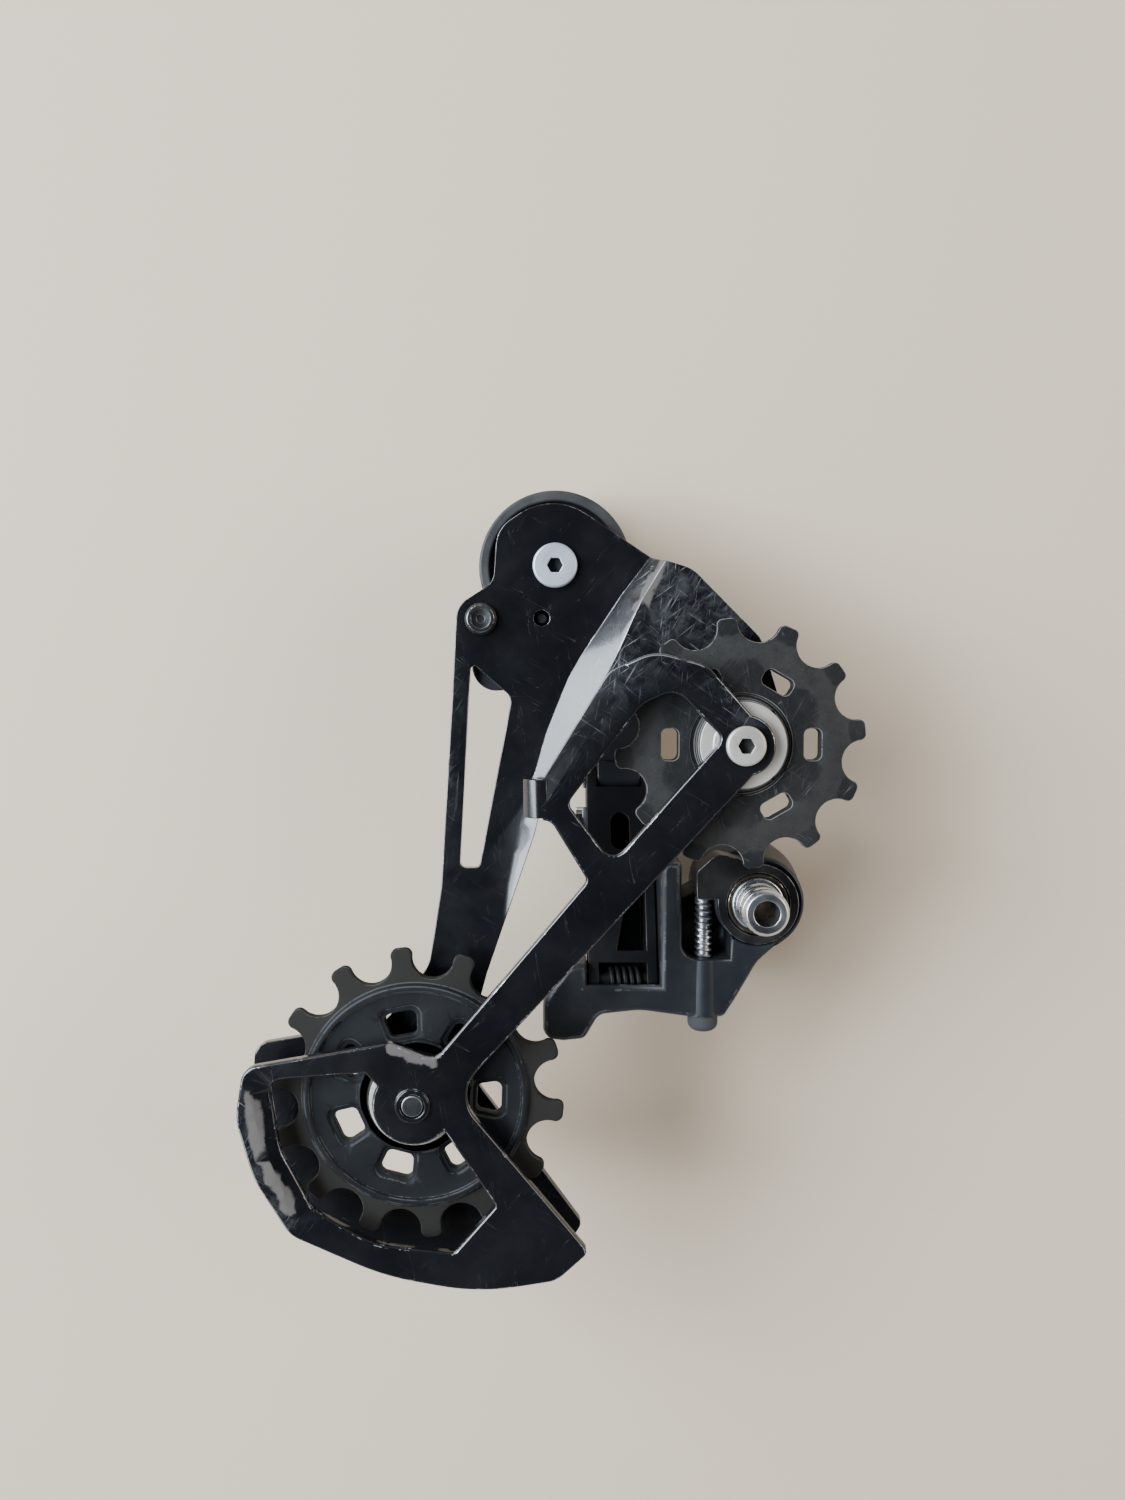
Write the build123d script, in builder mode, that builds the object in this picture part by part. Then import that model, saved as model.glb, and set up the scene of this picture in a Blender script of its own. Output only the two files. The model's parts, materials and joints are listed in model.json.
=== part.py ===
from build123d import *
from math import atan2, cos, degrees, hypot, pi, radians, sin
import os

os.makedirs("parts", exist_ok=True)

# ---------------------------------------------------------------- driving sizes
# Frame: hanger bolt axis is Z, hanger contact face is z = 0, +Z points inboard.
CHAIN_PITCH = 12.7
UPPER = (-6.4, 36.2)
LOWER = (-74.4, -38.2)
PIVOT = (-45.0, 74.1)

RUN = 0.05
GAP = 0.1
SIDE = 0.4

PULLEY_Z = 11.0
PLATE_T = 2.1
CAGE_GAP = 9.8
IN_BOTTOM = PULLEY_Z + CAGE_GAP / 2
IN_TOP = IN_BOTTOM + 2.0
OUT_TOP = PULLEY_Z - CAGE_GAP / 2
OUT_BOTTOM = OUT_TOP - PLATE_T
STEP = 4.2
HUB_TOP = OUT_TOP - STEP
HUB_BOTTOM = HUB_TOP - PLATE_T

PULLEY_BOLT_R = 2.5
BUSH_R = 4.0
UPPER_TEETH = 12
LOWER_TEETH = 14
UPPER_TIP = CHAIN_PITCH / (2 * sin(pi / UPPER_TEETH)) + 1.7
UPPER_ROOT = UPPER_TIP - 4.9
LOWER_TIP = CHAIN_PITCH / (2 * sin(pi / LOWER_TEETH)) + 2.9
LOWER_ROOT = LOWER_TIP - 6.3

BOLT_R = 5.0
BOLT_SHANK_R = 6.0
BOLT_LENGTH = 9.8
BUSHING_WALL = 0.9
COLLAR_R = 12.2
COLLAR_BOTTOM = -29.0
COLLAR_WIDE = -15.0
COLLAR_TAPER = 7.5
STOP_RING_R = 9.0
B_SCREW_X = -11.6
B_SCREW_Z = -4.6
B_SCREW_R = 2.0
B_SCREW_TIP = 1.0

LINK_LENGTH = 49.0
LINK_REST = -24.0
LINK_SPREAD = 9.5
PIN_R = 2.0
EAR_R = 3.2
EAR_T = 2.4
LINK_LEFT = -37.6
LINK_RIGHT = -21.9
PIN_B_Y = -18.8
PIN_B_Z = -6.5
PIN_P_Y = PIN_B_Y + LINK_LENGTH * cos(radians(LINK_REST))
PIN_P_Z = PIN_B_Z + LINK_LENGTH * sin(radians(LINK_REST))
SOCKET = (-43.1, PIN_B_Z - LINK_SPREAD / 2)
SOCKET_R = 2.6
SOCKET_DEEP = 22.6
BARREL_LEFT = LINK_LEFT + EAR_T + GAP + 0.1
BARREL_RIGHT = LINK_RIGHT - EAR_T - GAP - 0.1
WALL_LEFT = LINK_LEFT - SIDE
WALL_RIGHT = LINK_RIGHT + SIDE
LINK_MID = (LINK_LEFT + LINK_RIGHT) / 2

P_RING_R = 16.6
P_TOP = HUB_BOTTOM - 2.8
P_RING_TOP = HUB_BOTTOM - 0.7
P_FLOOR_TOP = -17.0
P_FLOOR_BOTTOM = -19.5
P_END = -31.5
P_BORE_R = 13.0
P_WALL_R = 16.4
AXLE_R = 4.5
P_BUSH_R = 5.6
GASKET_T = 0.6
COVER_BOTTOM = -35.9
CAGE_WIRE_R = 1.0
CAGE_SPRING_TURNS = 5
SPRING_HOLE = (-47.9, 62.9)
STOP_PIN = (-61.0, 62.7)
STOP_PIN_R = 2.0
LUG_R = 5.4
COVER_LUGS = (80, 205, 318)
COVER_LUG_R = 17.6


def outline(points):
    """Closed outline through the corners (x, y, r), each rounded by its own r."""
    with BuildSketch() as made:
        with BuildLine():
            Polyline(*[(x, y) for x, y, r in points], close=True)
        make_face()
        for x, y, r in points:
            if r > 0:
                corner = made.vertices().sort_by_distance((x, y, 0))[0]
                fillet(corner, radius=r)
    return made.sketch


def toothed(teeth, tip_r, root_r, valley_r, mouth, turn, crown):
    """Flat profile of a chain pulley: a disc with one valley between each pair of teeth."""
    with BuildSketch() as made:
        Circle(tip_r)
        with PolarLocations(root_r + valley_r, teeth, start_angle=turn + 180 / teeth):
            Circle(valley_r, mode=Mode.SUBTRACT)
            with BuildLine():
                Polyline((-0.4, valley_r), (-0.4, -valley_r), (valley_r + 2, -mouth),
                         (valley_r + 2, mouth), close=True)
            make_face(mode=Mode.SUBTRACT)
        tips = [v for v in made.vertices() if hypot(v.X, v.Y) > tip_r - 0.02]
        fillet(tips, radius=crown)
    return made.sketch


def pivot_plane(x, y, z):
    """Plane facing +X, local x along Y and local y along Z, for pins that lie along X."""
    return Plane(origin=(x, y, z), x_dir=(0, 1, 0), z_dir=(1, 0, 0))


# ---------------------------------------------------------------- hanger end
with BuildPart() as hanger_bolt:
    with BuildSketch(Plane.XZ):
        with BuildLine():
            Polyline(
                (0, COLLAR_BOTTOM - 6.6), (7.2, COLLAR_BOTTOM - 6.6), (8.2, COLLAR_BOTTOM - 5.6),
                (8.2, COLLAR_BOTTOM - 0.8), (BOLT_SHANK_R, COLLAR_BOTTOM - 0.8),
                (BOLT_SHANK_R, -0.5), (BOLT_SHANK_R - 0.4, 0), (BOLT_R - 0.25, 0),
                (BOLT_R - 0.25, 0.6), (BOLT_R, 0.9), (BOLT_R, BOLT_LENGTH - 0.9),
                (BOLT_R - 0.7, BOLT_LENGTH), (0, BOLT_LENGTH), close=True,
            )
        make_face()
    revolve(axis=Axis.Z)
    with BuildSketch(Plane.XY.offset(BOLT_LENGTH)):
        Circle(2.8)
    extrude(amount=-BOLT_LENGTH - 20, mode=Mode.SUBTRACT)
    with BuildSketch(Plane.XY.offset(COLLAR_BOTTOM - 6.6)):
        RegularPolygon(radius=2.9, side_count=6)
    extrude(amount=20, mode=Mode.SUBTRACT)
hanger_bolt.part.label = "hanger_bolt"
export_step(hanger_bolt.part, "parts/hanger_bolt.step")

with BuildPart() as hanger_washer:
    with BuildSketch(Plane.XY.offset(COLLAR_BOTTOM - 0.8)):
        Circle(8.8)
        Circle(BOLT_SHANK_R, mode=Mode.SUBTRACT)
    extrude(amount=0.7)
hanger_washer.part.label = "hanger_washer"
export_step(hanger_washer.part, "parts/hanger_washer.step")

with BuildPart() as b_stop_plate:
    with BuildSketch(Plane.XY.offset(-2.4)):
        Circle(STOP_RING_R)
        Circle(BOLT_SHANK_R + BUSHING_WALL + RUN + 0.1, mode=Mode.SUBTRACT)
    extrude(amount=2.3)
    tab_face = outline([
        (-13.6, B_SCREW_TIP + GAP, 0.6), (-8.6, B_SCREW_TIP + GAP, 0), (-7.2, 0.2, 0),
        (-1.5, 7.4, 0), (-2.4, 9.6, 1.0), (-9.0, 11.4, 2.5), (-13.8, 7.2, 2.0),
    ])
    with BuildSketch(Plane.XY.offset(-2.4)):
        add(tab_face)
        Circle(BOLT_SHANK_R + BUSHING_WALL + RUN + 0.1, mode=Mode.SUBTRACT)
    extrude(amount=2.3)
    with BuildSketch(Plane.XY.offset(-6.8)):
        add(tab_face)
        Circle(STOP_RING_R + 0.4, mode=Mode.SUBTRACT)
    extrude(amount=5.0)
b_stop_plate.part.label = "b_stop_plate"
export_step(b_stop_plate.part, "parts/b_stop_plate.step")

# ---------------------------------------------------------------- B-knuckle
body_face = outline([
    (6.4, -7.6, 0), (0.2, -13.4, 8), (-4.6, -21.8, 5), (-7.2, -25.9, 1.8), (-15.2, -25.9, 1.5),
    (-26.0, -24.4, 14), (-35.2, -25.4, 3), (-38.4, -30.9, 2.2), (-43.2, -31.4, 0),
    (-47.8, -30.9, 3), (-47.8, -22.0, 5), (-42.0, -13.8, 3), (WALL_LEFT, -13.8, 0),
    (WALL_LEFT, PIN_B_Y + 0.2, 0), (WALL_RIGHT, PIN_B_Y + 0.2, 0), (WALL_RIGHT, 9.2, 2),
    (-16.8, 9.2, 0), (-16.8, -1.0, 0), (-4, 6, 0),
])
pocket_face = outline([
    (-16.8, -12.6, 3.5), (-6.0, -12.6, 0), (-6.0, 0, 0), (0, 0, 0), (0, 30, 0), (-16.8, 30, 0),
])
with BuildPart() as b_knuckle:
    with BuildSketch(Plane.XY.offset(-1.0)):
        add(body_face)
    extrude(amount=-21.5)
    chamfer(b_knuckle.faces().sort_by(Axis.Z)[-1].outer_wire().edges(), length=0.9)
    with BuildSketch(Plane.XY.offset(COLLAR_WIDE)):
        Circle(COLLAR_R)
    extrude(amount=COLLAR_BOTTOM - COLLAR_WIDE)
    with BuildSketch(Plane.XY.offset(COLLAR_WIDE)):
        Circle(COLLAR_R)
    extrude(amount=-1.4 - COLLAR_WIDE, taper=COLLAR_TAPER)
    chamfer(b_knuckle.faces().sort_by(Axis.Z)[0].outer_wire().edges(), length=0.8)
    with BuildSketch(Plane.XZ.offset(12.6)):
        with Locations((B_SCREW_X, B_SCREW_Z)):
            Circle(4.1)
    extrude(amount=13.3)
    with BuildSketch(Plane.XY.offset(-9.0)):
        add(pocket_face)
        Circle(STOP_RING_R + 0.3, mode=Mode.SUBTRACT)
    extrude(amount=12, mode=Mode.SUBTRACT)
    with BuildSketch(Plane.XY.offset(-2.5)):
        Circle(STOP_RING_R + 0.3)
    extrude(amount=4, mode=Mode.SUBTRACT)
    with BuildSketch(Plane.XY.offset(2)):
        Circle(BOLT_SHANK_R + BUSHING_WALL)
    extrude(amount=COLLAR_BOTTOM - 4, mode=Mode.SUBTRACT)
    with BuildSketch(Plane.XZ.offset(10)):
        with Locations((B_SCREW_X, B_SCREW_Z)):
            Circle(B_SCREW_R + RUN)
    extrude(amount=20, mode=Mode.SUBTRACT)
    with BuildSketch(Plane.XY.offset(-2.7)):
        with Locations((LINK_MID, -3)):
            Rectangle(WALL_RIGHT - WALL_LEFT, 40.4)
    extrude(amount=-17.4, mode=Mode.SUBTRACT)
    with BuildSketch(Plane.XY.offset(-24)):
        with Locations((LINK_MID, 5.6)):
            Rectangle(WALL_RIGHT - WALL_LEFT, 45.2)
    extrude(amount=6, mode=Mode.SUBTRACT)
    with BuildSketch(pivot_plane(-60, PIN_B_Y, PIN_B_Z)):
        Circle(PIN_R)
        with Locations((0, -LINK_SPREAD)):
            Circle(PIN_R)
    extrude(amount=43, mode=Mode.SUBTRACT)
    with BuildSketch(pivot_plane(-60, PIN_B_Y, PIN_B_Z)):
        Circle(PIN_R + 1.1)
        with Locations((0, -LINK_SPREAD)):
            Circle(PIN_R + 1.1)
    extrude(amount=17.6, mode=Mode.SUBTRACT)
    with BuildSketch(Plane.XZ.offset(SOCKET_DEEP + 10)):
        with Locations(SOCKET):
            Circle(SOCKET_R)
    extrude(amount=-10, mode=Mode.SUBTRACT)
    with BuildSketch(Plane.XZ.offset(SOCKET_DEEP)):
        with Locations(SOCKET):
            Circle(SOCKET_R - 0.6)
    extrude(amount=-16, mode=Mode.SUBTRACT)
    with BuildSketch(Plane.XY.offset(-26)):
        with Locations((-32.6, -20.3), (-26.6, -20.3)):
            Circle(1.5 + RUN)
    extrude(amount=8, mode=Mode.SUBTRACT)
b_knuckle.part.label = "b_knuckle"
export_step(b_knuckle.part, "parts/b_knuckle.step")

with BuildPart() as b_bushing:
    with BuildSketch(Plane.XY.offset(-0.3)):
        Circle(BOLT_SHANK_R + BUSHING_WALL)
        Circle(BOLT_SHANK_R + RUN, mode=Mode.SUBTRACT)
    extrude(amount=COLLAR_BOTTOM + 0.3)
    chamfer(b_bushing.faces().sort_by(Axis.Z)[-1].outer_wire().edges(), length=0.3)
b_bushing.part.label = "b_bushing"
export_step(b_bushing.part, "parts/b_bushing.step")

with BuildPart() as b_adjust_screw:
    with BuildSketch(Plane.XZ.offset(-B_SCREW_TIP)):
        with Locations((B_SCREW_X, B_SCREW_Z)):
            Circle(B_SCREW_R)
    extrude(amount=26.95 + B_SCREW_TIP)
    chamfer(b_adjust_screw.faces().sort_by(Axis.Y)[-1].edges(), length=0.5)
    with BuildSketch(Plane.XZ.offset(25.95)):
        with Locations((B_SCREW_X, B_SCREW_Z)):
            Circle(3.4)
    extrude(amount=3.6)
    fillet(b_adjust_screw.faces().sort_by(Axis.Y)[0].edges(), radius=1.8)
    with BuildSketch(Plane.XZ.offset(29.55)):
        with Locations((B_SCREW_X, B_SCREW_Z)):
            Rectangle(3.0, 0.8)
            Rectangle(0.8, 3.0)
    extrude(amount=-1.8, mode=Mode.SUBTRACT)
b_adjust_screw.part.label = "b_adjust_screw"
export_step(b_adjust_screw.part, "parts/b_adjust_screw.step")

for screw_name, screw_x in (("limit_screw_high", -32.6), ("limit_screw_low", -26.6)):
    with BuildPart() as limit_screw:
        with BuildSketch(Plane.XY.offset(-18.7)):
            with Locations((screw_x, -20.3)):
                Circle(1.5)
        extrude(amount=-5)
        chamfer(limit_screw.faces().sort_by(Axis.Z)[-1].edges(), length=0.4)
        with BuildSketch(Plane.XY.offset(-22.6)):
            with Locations((screw_x, -20.3)):
                Circle(2.4)
        extrude(amount=-2.2)
        fillet(limit_screw.faces().sort_by(Axis.Z)[0].edges(), radius=0.8)
        with BuildSketch(Plane.XY.offset(-24.8)):
            with Locations((screw_x, -20.3)):
                Rectangle(2.6, 0.6)
                Rectangle(0.6, 2.6)
        extrude(amount=1.2, mode=Mode.SUBTRACT)
    limit_screw.part.label = screw_name
    export_step(limit_screw.part, "parts/" + screw_name + ".step")

with BuildPart() as b_link_pins:
    with BuildSketch(pivot_plane(-42.2, PIN_B_Y, PIN_B_Z)):
        Circle(PIN_R)
        with Locations((0, -LINK_SPREAD)):
            Circle(PIN_R)
    extrude(amount=24.4)
    chamfer(b_link_pins.faces().filter_by(Axis.X).edges(), length=0.3)
b_link_pins.part.label = "b_link_pins"
export_step(b_link_pins.part, "parts/b_link_pins.step")

# ---------------------------------------------------------------- parallelogram
link_side = outline([
    (-EAR_R, -EAR_R, EAR_R - 0.02), (LINK_LENGTH + EAR_R, -EAR_R, EAR_R - 0.02),
    (LINK_LENGTH + EAR_R, EAR_R, EAR_R - 0.02), (-EAR_R, EAR_R, EAR_R - 0.02),
])


def link_plane(x, z):
    """Plane facing +X at a pin of the B-knuckle, local x along the link."""
    rest = radians(LINK_REST)
    return Plane(origin=(x, PIN_B_Y, z), x_dir=(0, cos(rest), sin(rest)), z_dir=(1, 0, 0))


inner_plane = link_plane(LINK_LEFT, PIN_B_Z)
outer_plane = link_plane(LINK_LEFT, PIN_B_Z - LINK_SPREAD)
WIDTH = LINK_RIGHT - LINK_LEFT

with BuildPart() as inner_link:
    with BuildSketch(inner_plane):
        add(link_side)
    extrude(amount=WIDTH)
    with BuildSketch(inner_plane.offset(EAR_T)):
        with Locations((LINK_LENGTH / 2, -2.0)):
            Rectangle(LINK_LENGTH + 20, 6.4)
    extrude(amount=WIDTH - 2 * EAR_T, mode=Mode.SUBTRACT)
    with BuildSketch(inner_plane.offset(EAR_T)):
        with Locations((0, 0), (LINK_LENGTH, 0)):
            Circle(4.6)
    extrude(amount=WIDTH - 2 * EAR_T, mode=Mode.SUBTRACT)
    with BuildSketch(inner_plane.offset(-1)):
        with Locations((0, 0), (LINK_LENGTH, 0)):
            Circle(PIN_R + RUN)
        with Locations((36, 0)):
            Circle(1.25)
    extrude(amount=WIDTH + 2, mode=Mode.SUBTRACT)
    web_plane = Plane(
        origin=(0, PIN_B_Y, PIN_B_Z), x_dir=inner_plane.x_dir,
        z_dir=(0, -sin(radians(LINK_REST)), cos(radians(LINK_REST))),
    )
    with BuildSketch(web_plane):
        with BuildLine():
            Polyline((6.2, 31.0), (6.2, 24.3), (28, 24.3), (28, 26.4), close=True)
        make_face()
        with Locations((34.5, -LINK_MID)):
            SlotOverall(9, 4.4)
    extrude(amount=6, mode=Mode.SUBTRACT)
inner_link.part.label = "inner_link"
export_step(inner_link.part, "parts/inner_link.step")

with BuildPart() as outer_link:
    with BuildSketch(outer_plane):
        add(link_side)
    extrude(amount=WIDTH)
    with BuildSketch(outer_plane.offset(EAR_T)):
        with Locations((LINK_LENGTH / 2, 1.6)):
            Rectangle(LINK_LENGTH + 20, 6.4)
    extrude(amount=WIDTH - 2 * EAR_T, mode=Mode.SUBTRACT)
    with BuildSketch(outer_plane.offset(EAR_T)):
        with Locations((0, 0), (LINK_LENGTH, 0)):
            Circle(4.6)
    extrude(amount=WIDTH - 2 * EAR_T, mode=Mode.SUBTRACT)
    with BuildSketch(outer_plane.offset(-1)):
        Circle(PIN_R + RUN)
        with Locations((LINK_LENGTH, 0)):
            Circle(PIN_R + GAP)
    extrude(amount=WIDTH + 2, mode=Mode.SUBTRACT)
outer_link.part.label = "outer_link"
export_step(outer_link.part, "parts/outer_link.step")

anchor_plane = Plane(
    origin=inner_plane.from_local_coords((36, 0, 0)),
    x_dir=inner_plane.x_dir, z_dir=(-1, 0, 0),
)
with BuildPart() as cable_washer:
    with BuildSketch(anchor_plane):
        RectangleRounded(9.4, 5.6, 1.4)
        Circle(1.25 + RUN, mode=Mode.SUBTRACT)
    extrude(amount=1.0)
    with BuildSketch(anchor_plane):
        with Locations((4.3, 0)):
            Rectangle(0.8, 4.4)
    extrude(amount=2.6)
cable_washer.part.label = "cable_washer"
export_step(cable_washer.part, "parts/cable_washer.step")

with BuildPart() as cable_anchor_bolt:
    with BuildSketch(anchor_plane.offset(1.0)):
        Circle(3.5)
    extrude(amount=3.0)
    chamfer(cable_anchor_bolt.faces().sort_by(Axis.X)[0].edges(), length=0.5)
    with BuildSketch(anchor_plane.offset(4.0)):
        RegularPolygon(radius=2.3, side_count=6)
    extrude(amount=-2.2, mode=Mode.SUBTRACT)
    with BuildSketch(anchor_plane.offset(1.0)):
        Circle(1.25)
    extrude(amount=-1.0 - EAR_T)
cable_anchor_bolt.part.label = "cable_anchor_bolt"
export_step(cable_anchor_bolt.part, "parts/cable_anchor_bolt.step")

with BuildPart() as return_spring:
    with BuildLine() as return_coil:
        Helix(pitch=1.5, height=7.5, radius=PIN_R + 0.7, center=(-33.6, PIN_B_Y, PIN_B_Z),
              direction=(1, 0, 0))
    with BuildSketch(Plane(origin=return_coil.line @ 0, z_dir=return_coil.line % 0)):
        Circle(0.5)
    sweep()
return_spring.part.label = "return_spring"
export_step(return_spring.part, "parts/return_spring.step")

# ---------------------------------------------------------------- P-knuckle
px, py = PIVOT
lug_turn = radians(-50)
LUG = (
    STOP_PIN[0] + (STOP_PIN_R + LUG_R + GAP) * cos(lug_turn),
    STOP_PIN[1] + (STOP_PIN_R + LUG_R + GAP) * sin(lug_turn),
)
LUG_FOOT = (-57.9, 52.6)
lug_points = [
    (px + COVER_LUG_R * cos(radians(a)), py + COVER_LUG_R * sin(radians(a))) for a in COVER_LUGS
]
ARM_FOOT = PIN_P_Y + EAR_R + 1.04
arm_face = outline([
    (-38.6, ARM_FOOT, 2), (-21.0, ARM_FOOT, 2), (-22.5, 46, 12), (-30.5, 66, 0), (px, py, 0),
    (-57.5, 66, 0), (-42.0, 45, 14),
])
with BuildPart() as p_knuckle:
    with BuildSketch(Plane.XY.offset(P_TOP)):
        with Locations(PIVOT):
            Circle(P_WALL_R)
    extrude(amount=P_END - P_TOP)
    with BuildSketch(Plane.XY.offset(-24.0)):
        with Locations(*lug_points):
            Circle(3.0)
    extrude(amount=P_END + 24.0)
    with BuildSketch(Plane.XY.offset(PIN_P_Z + 3.63)):
        add(arm_face)
    extrude(amount=-LINK_SPREAD - 6.1)
    with BuildSketch(Plane.XY.offset(PIN_P_Z + 3.03)):
        with Locations(((BARREL_LEFT + BARREL_RIGHT) / 2, (PIN_P_Y + ARM_FOOT + 0.8) / 2)):
            Rectangle(BARREL_RIGHT - BARREL_LEFT, ARM_FOOT + 0.8 - PIN_P_Y)
    extrude(amount=-LINK_SPREAD - 5.5)
    with BuildSketch(pivot_plane(BARREL_LEFT, PIN_P_Y, PIN_P_Z)):
        Circle(EAR_R)
        with Locations((0, -LINK_SPREAD)):
            Circle(EAR_R)
    extrude(amount=BARREL_RIGHT - BARREL_LEFT)
    with BuildSketch(Plane.XY.offset(-1.8)):
        with Locations(LUG, LUG_FOOT):
            Circle(LUG_R)
        with Locations(Location(((LUG_FOOT[0] + LUG[0]) / 2, (LUG_FOOT[1] + LUG[1]) / 2),
                                degrees(atan2(LUG[1] - LUG_FOOT[1], LUG[0] - LUG_FOOT[0])))):
            Rectangle(hypot(LUG[0] - LUG_FOOT[0], LUG[1] - LUG_FOOT[1]), 2 * LUG_R)
    extrude(amount=-11)
    with BuildSketch(Plane.XY.offset(-3.2)):
        with Locations(Location(((px + LUG[0]) / 2, (py + LUG[1]) / 2),
                                degrees(atan2(py - LUG[1], px - LUG[0])))):
            Rectangle(hypot(px - LUG[0], py - LUG[1]), 6)
    extrude(amount=-9)
    with BuildSketch(Plane.XY.offset(P_END)):
        with Locations(PIVOT):
            Circle(P_WALL_R + 0.5)
        with Locations(*lug_points):
            Circle(3.4)
    extrude(amount=-10, mode=Mode.SUBTRACT)
    with BuildSketch(Plane.XY.offset(P_TOP)):
        with Locations(PIVOT):
            Circle(P_RING_R)
    extrude(amount=8, mode=Mode.SUBTRACT)
    with BuildSketch(Plane.XY.offset(P_FLOOR_TOP)):
        with Locations(PIVOT):
            Circle(P_BORE_R)
            Circle(7.4, mode=Mode.SUBTRACT)
    extrude(amount=20, mode=Mode.SUBTRACT)
    with BuildSketch(Plane.XY.offset(-6.0)):
        with Locations(PIVOT):
            Circle(8)
    extrude(amount=10, mode=Mode.SUBTRACT)
    with BuildSketch(Plane.XY.offset(P_FLOOR_BOTTOM)):
        with Locations(PIVOT):
            Circle(P_BORE_R + 0.4)
    extrude(amount=-20, mode=Mode.SUBTRACT)
    with BuildSketch(Plane.XY):
        with Locations(PIVOT):
            Circle(P_BUSH_R)
    extrude(amount=-30, mode=Mode.SUBTRACT)
    with BuildSketch(Plane.XY.offset(-1.8)):
        with Locations(LUG):
            Circle(2.2)
    extrude(amount=-4, mode=Mode.SUBTRACT)
    with BuildSketch(Plane.XY.offset(P_END)):
        with Locations(*lug_points):
            Circle(1.25)
    extrude(amount=6, mode=Mode.SUBTRACT)
    with BuildSketch(pivot_plane(-60, PIN_P_Y, PIN_P_Z)):
        Circle(PIN_R)
        with Locations((0, -LINK_SPREAD)):
            Circle(PIN_R)
    extrude(amount=60, mode=Mode.SUBTRACT)
p_knuckle.part.label = "p_knuckle"
export_step(p_knuckle.part, "parts/p_knuckle.step")

with BuildPart() as p_ring:
    with BuildSketch(Plane.XY.offset(P_TOP)):
        with Locations(PIVOT):
            Circle(P_RING_R)
            Circle(14.2, mode=Mode.SUBTRACT)
    extrude(amount=P_RING_TOP - P_TOP)
    fillet(p_ring.faces().sort_by(Axis.Z)[-1].edges(), radius=0.6)
p_ring.part.label = "p_ring"
export_step(p_ring.part, "parts/p_ring.step")

with BuildPart() as p_bushing:
    with BuildSketch(Plane.XY.offset(-6.0)):
        with Locations(PIVOT):
            Circle(P_BUSH_R)
            Circle(AXLE_R + RUN, mode=Mode.SUBTRACT)
    extrude(amount=P_FLOOR_BOTTOM + 6.0)
p_bushing.part.label = "p_bushing"
export_step(p_bushing.part, "parts/p_bushing.step")

with BuildPart() as p_link_pins:
    with BuildSketch(pivot_plane(LINK_LEFT - 0.9, PIN_P_Y, PIN_P_Z)):
        Circle(PIN_R)
        with Locations((0, -LINK_SPREAD)):
            Circle(PIN_R)
    extrude(amount=WIDTH + 1.8)
    with BuildSketch(pivot_plane(LINK_LEFT - 0.9, PIN_P_Y, PIN_P_Z)):
        Circle(2.7)
        with Locations((0, -LINK_SPREAD)):
            Circle(2.7)
    extrude(amount=0.8)
p_link_pins.part.label = "p_link_pins"
export_step(p_link_pins.part, "parts/p_link_pins.step")

with BuildPart() as p_pin_clips:
    with BuildSketch(pivot_plane(LINK_RIGHT + GAP, PIN_P_Y, PIN_P_Z)):
        Circle(2.9)
        with Locations((0, -LINK_SPREAD)):
            Circle(2.9)
        Circle(PIN_R, mode=Mode.SUBTRACT)
        with Locations((0, -LINK_SPREAD)):
            Circle(PIN_R, mode=Mode.SUBTRACT)
        with Locations((0, 2.4), (0, 2.4 - LINK_SPREAD)):
            Rectangle(1.8, 2.0, mode=Mode.SUBTRACT)
    extrude(amount=0.6)
p_pin_clips.part.label = "p_pin_clips"
export_step(p_pin_clips.part, "parts/p_pin_clips.step")

with BuildPart() as roller_clutch:
    with BuildSketch(Plane.XY.offset(P_FLOOR_BOTTOM)):
        with Locations(PIVOT):
            Circle(9.0)
            Circle(AXLE_R + RUN, mode=Mode.SUBTRACT)
    extrude(amount=-9.6)
    chamfer(roller_clutch.faces().sort_by(Axis.Z)[0].edges(), length=0.4)
roller_clutch.part.label = "roller_clutch"
export_step(roller_clutch.part, "parts/roller_clutch.step")

with BuildPart() as friction_band:
    with BuildSketch(Plane.XY.offset(P_FLOOR_BOTTOM - 1.6)):
        with Locations(PIVOT):
            Circle(10.4)
        with Locations((px, py + 11)):
            Rectangle(6.4, 3.4)
        with Locations(PIVOT):
            Circle(9.0, mode=Mode.SUBTRACT)
        with Locations((px, py + 11)):
            Rectangle(2.0, 6, mode=Mode.SUBTRACT)
    extrude(amount=-6.6)
friction_band.part.label = "friction_band"
export_step(friction_band.part, "parts/friction_band.step")

with BuildPart() as clutch_gasket:
    with BuildSketch(Plane.XY.offset(P_END)):
        with Locations(PIVOT):
            Circle(P_WALL_R)
        with Locations(*lug_points):
            Circle(3.0)
        with Locations(PIVOT):
            Circle(P_BORE_R + 0.4, mode=Mode.SUBTRACT)
        with Locations(*lug_points):
            Circle(1.25, mode=Mode.SUBTRACT)
    extrude(amount=-GASKET_T)
clutch_gasket.part.label = "clutch_gasket"
export_step(clutch_gasket.part, "parts/clutch_gasket.step")

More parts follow.
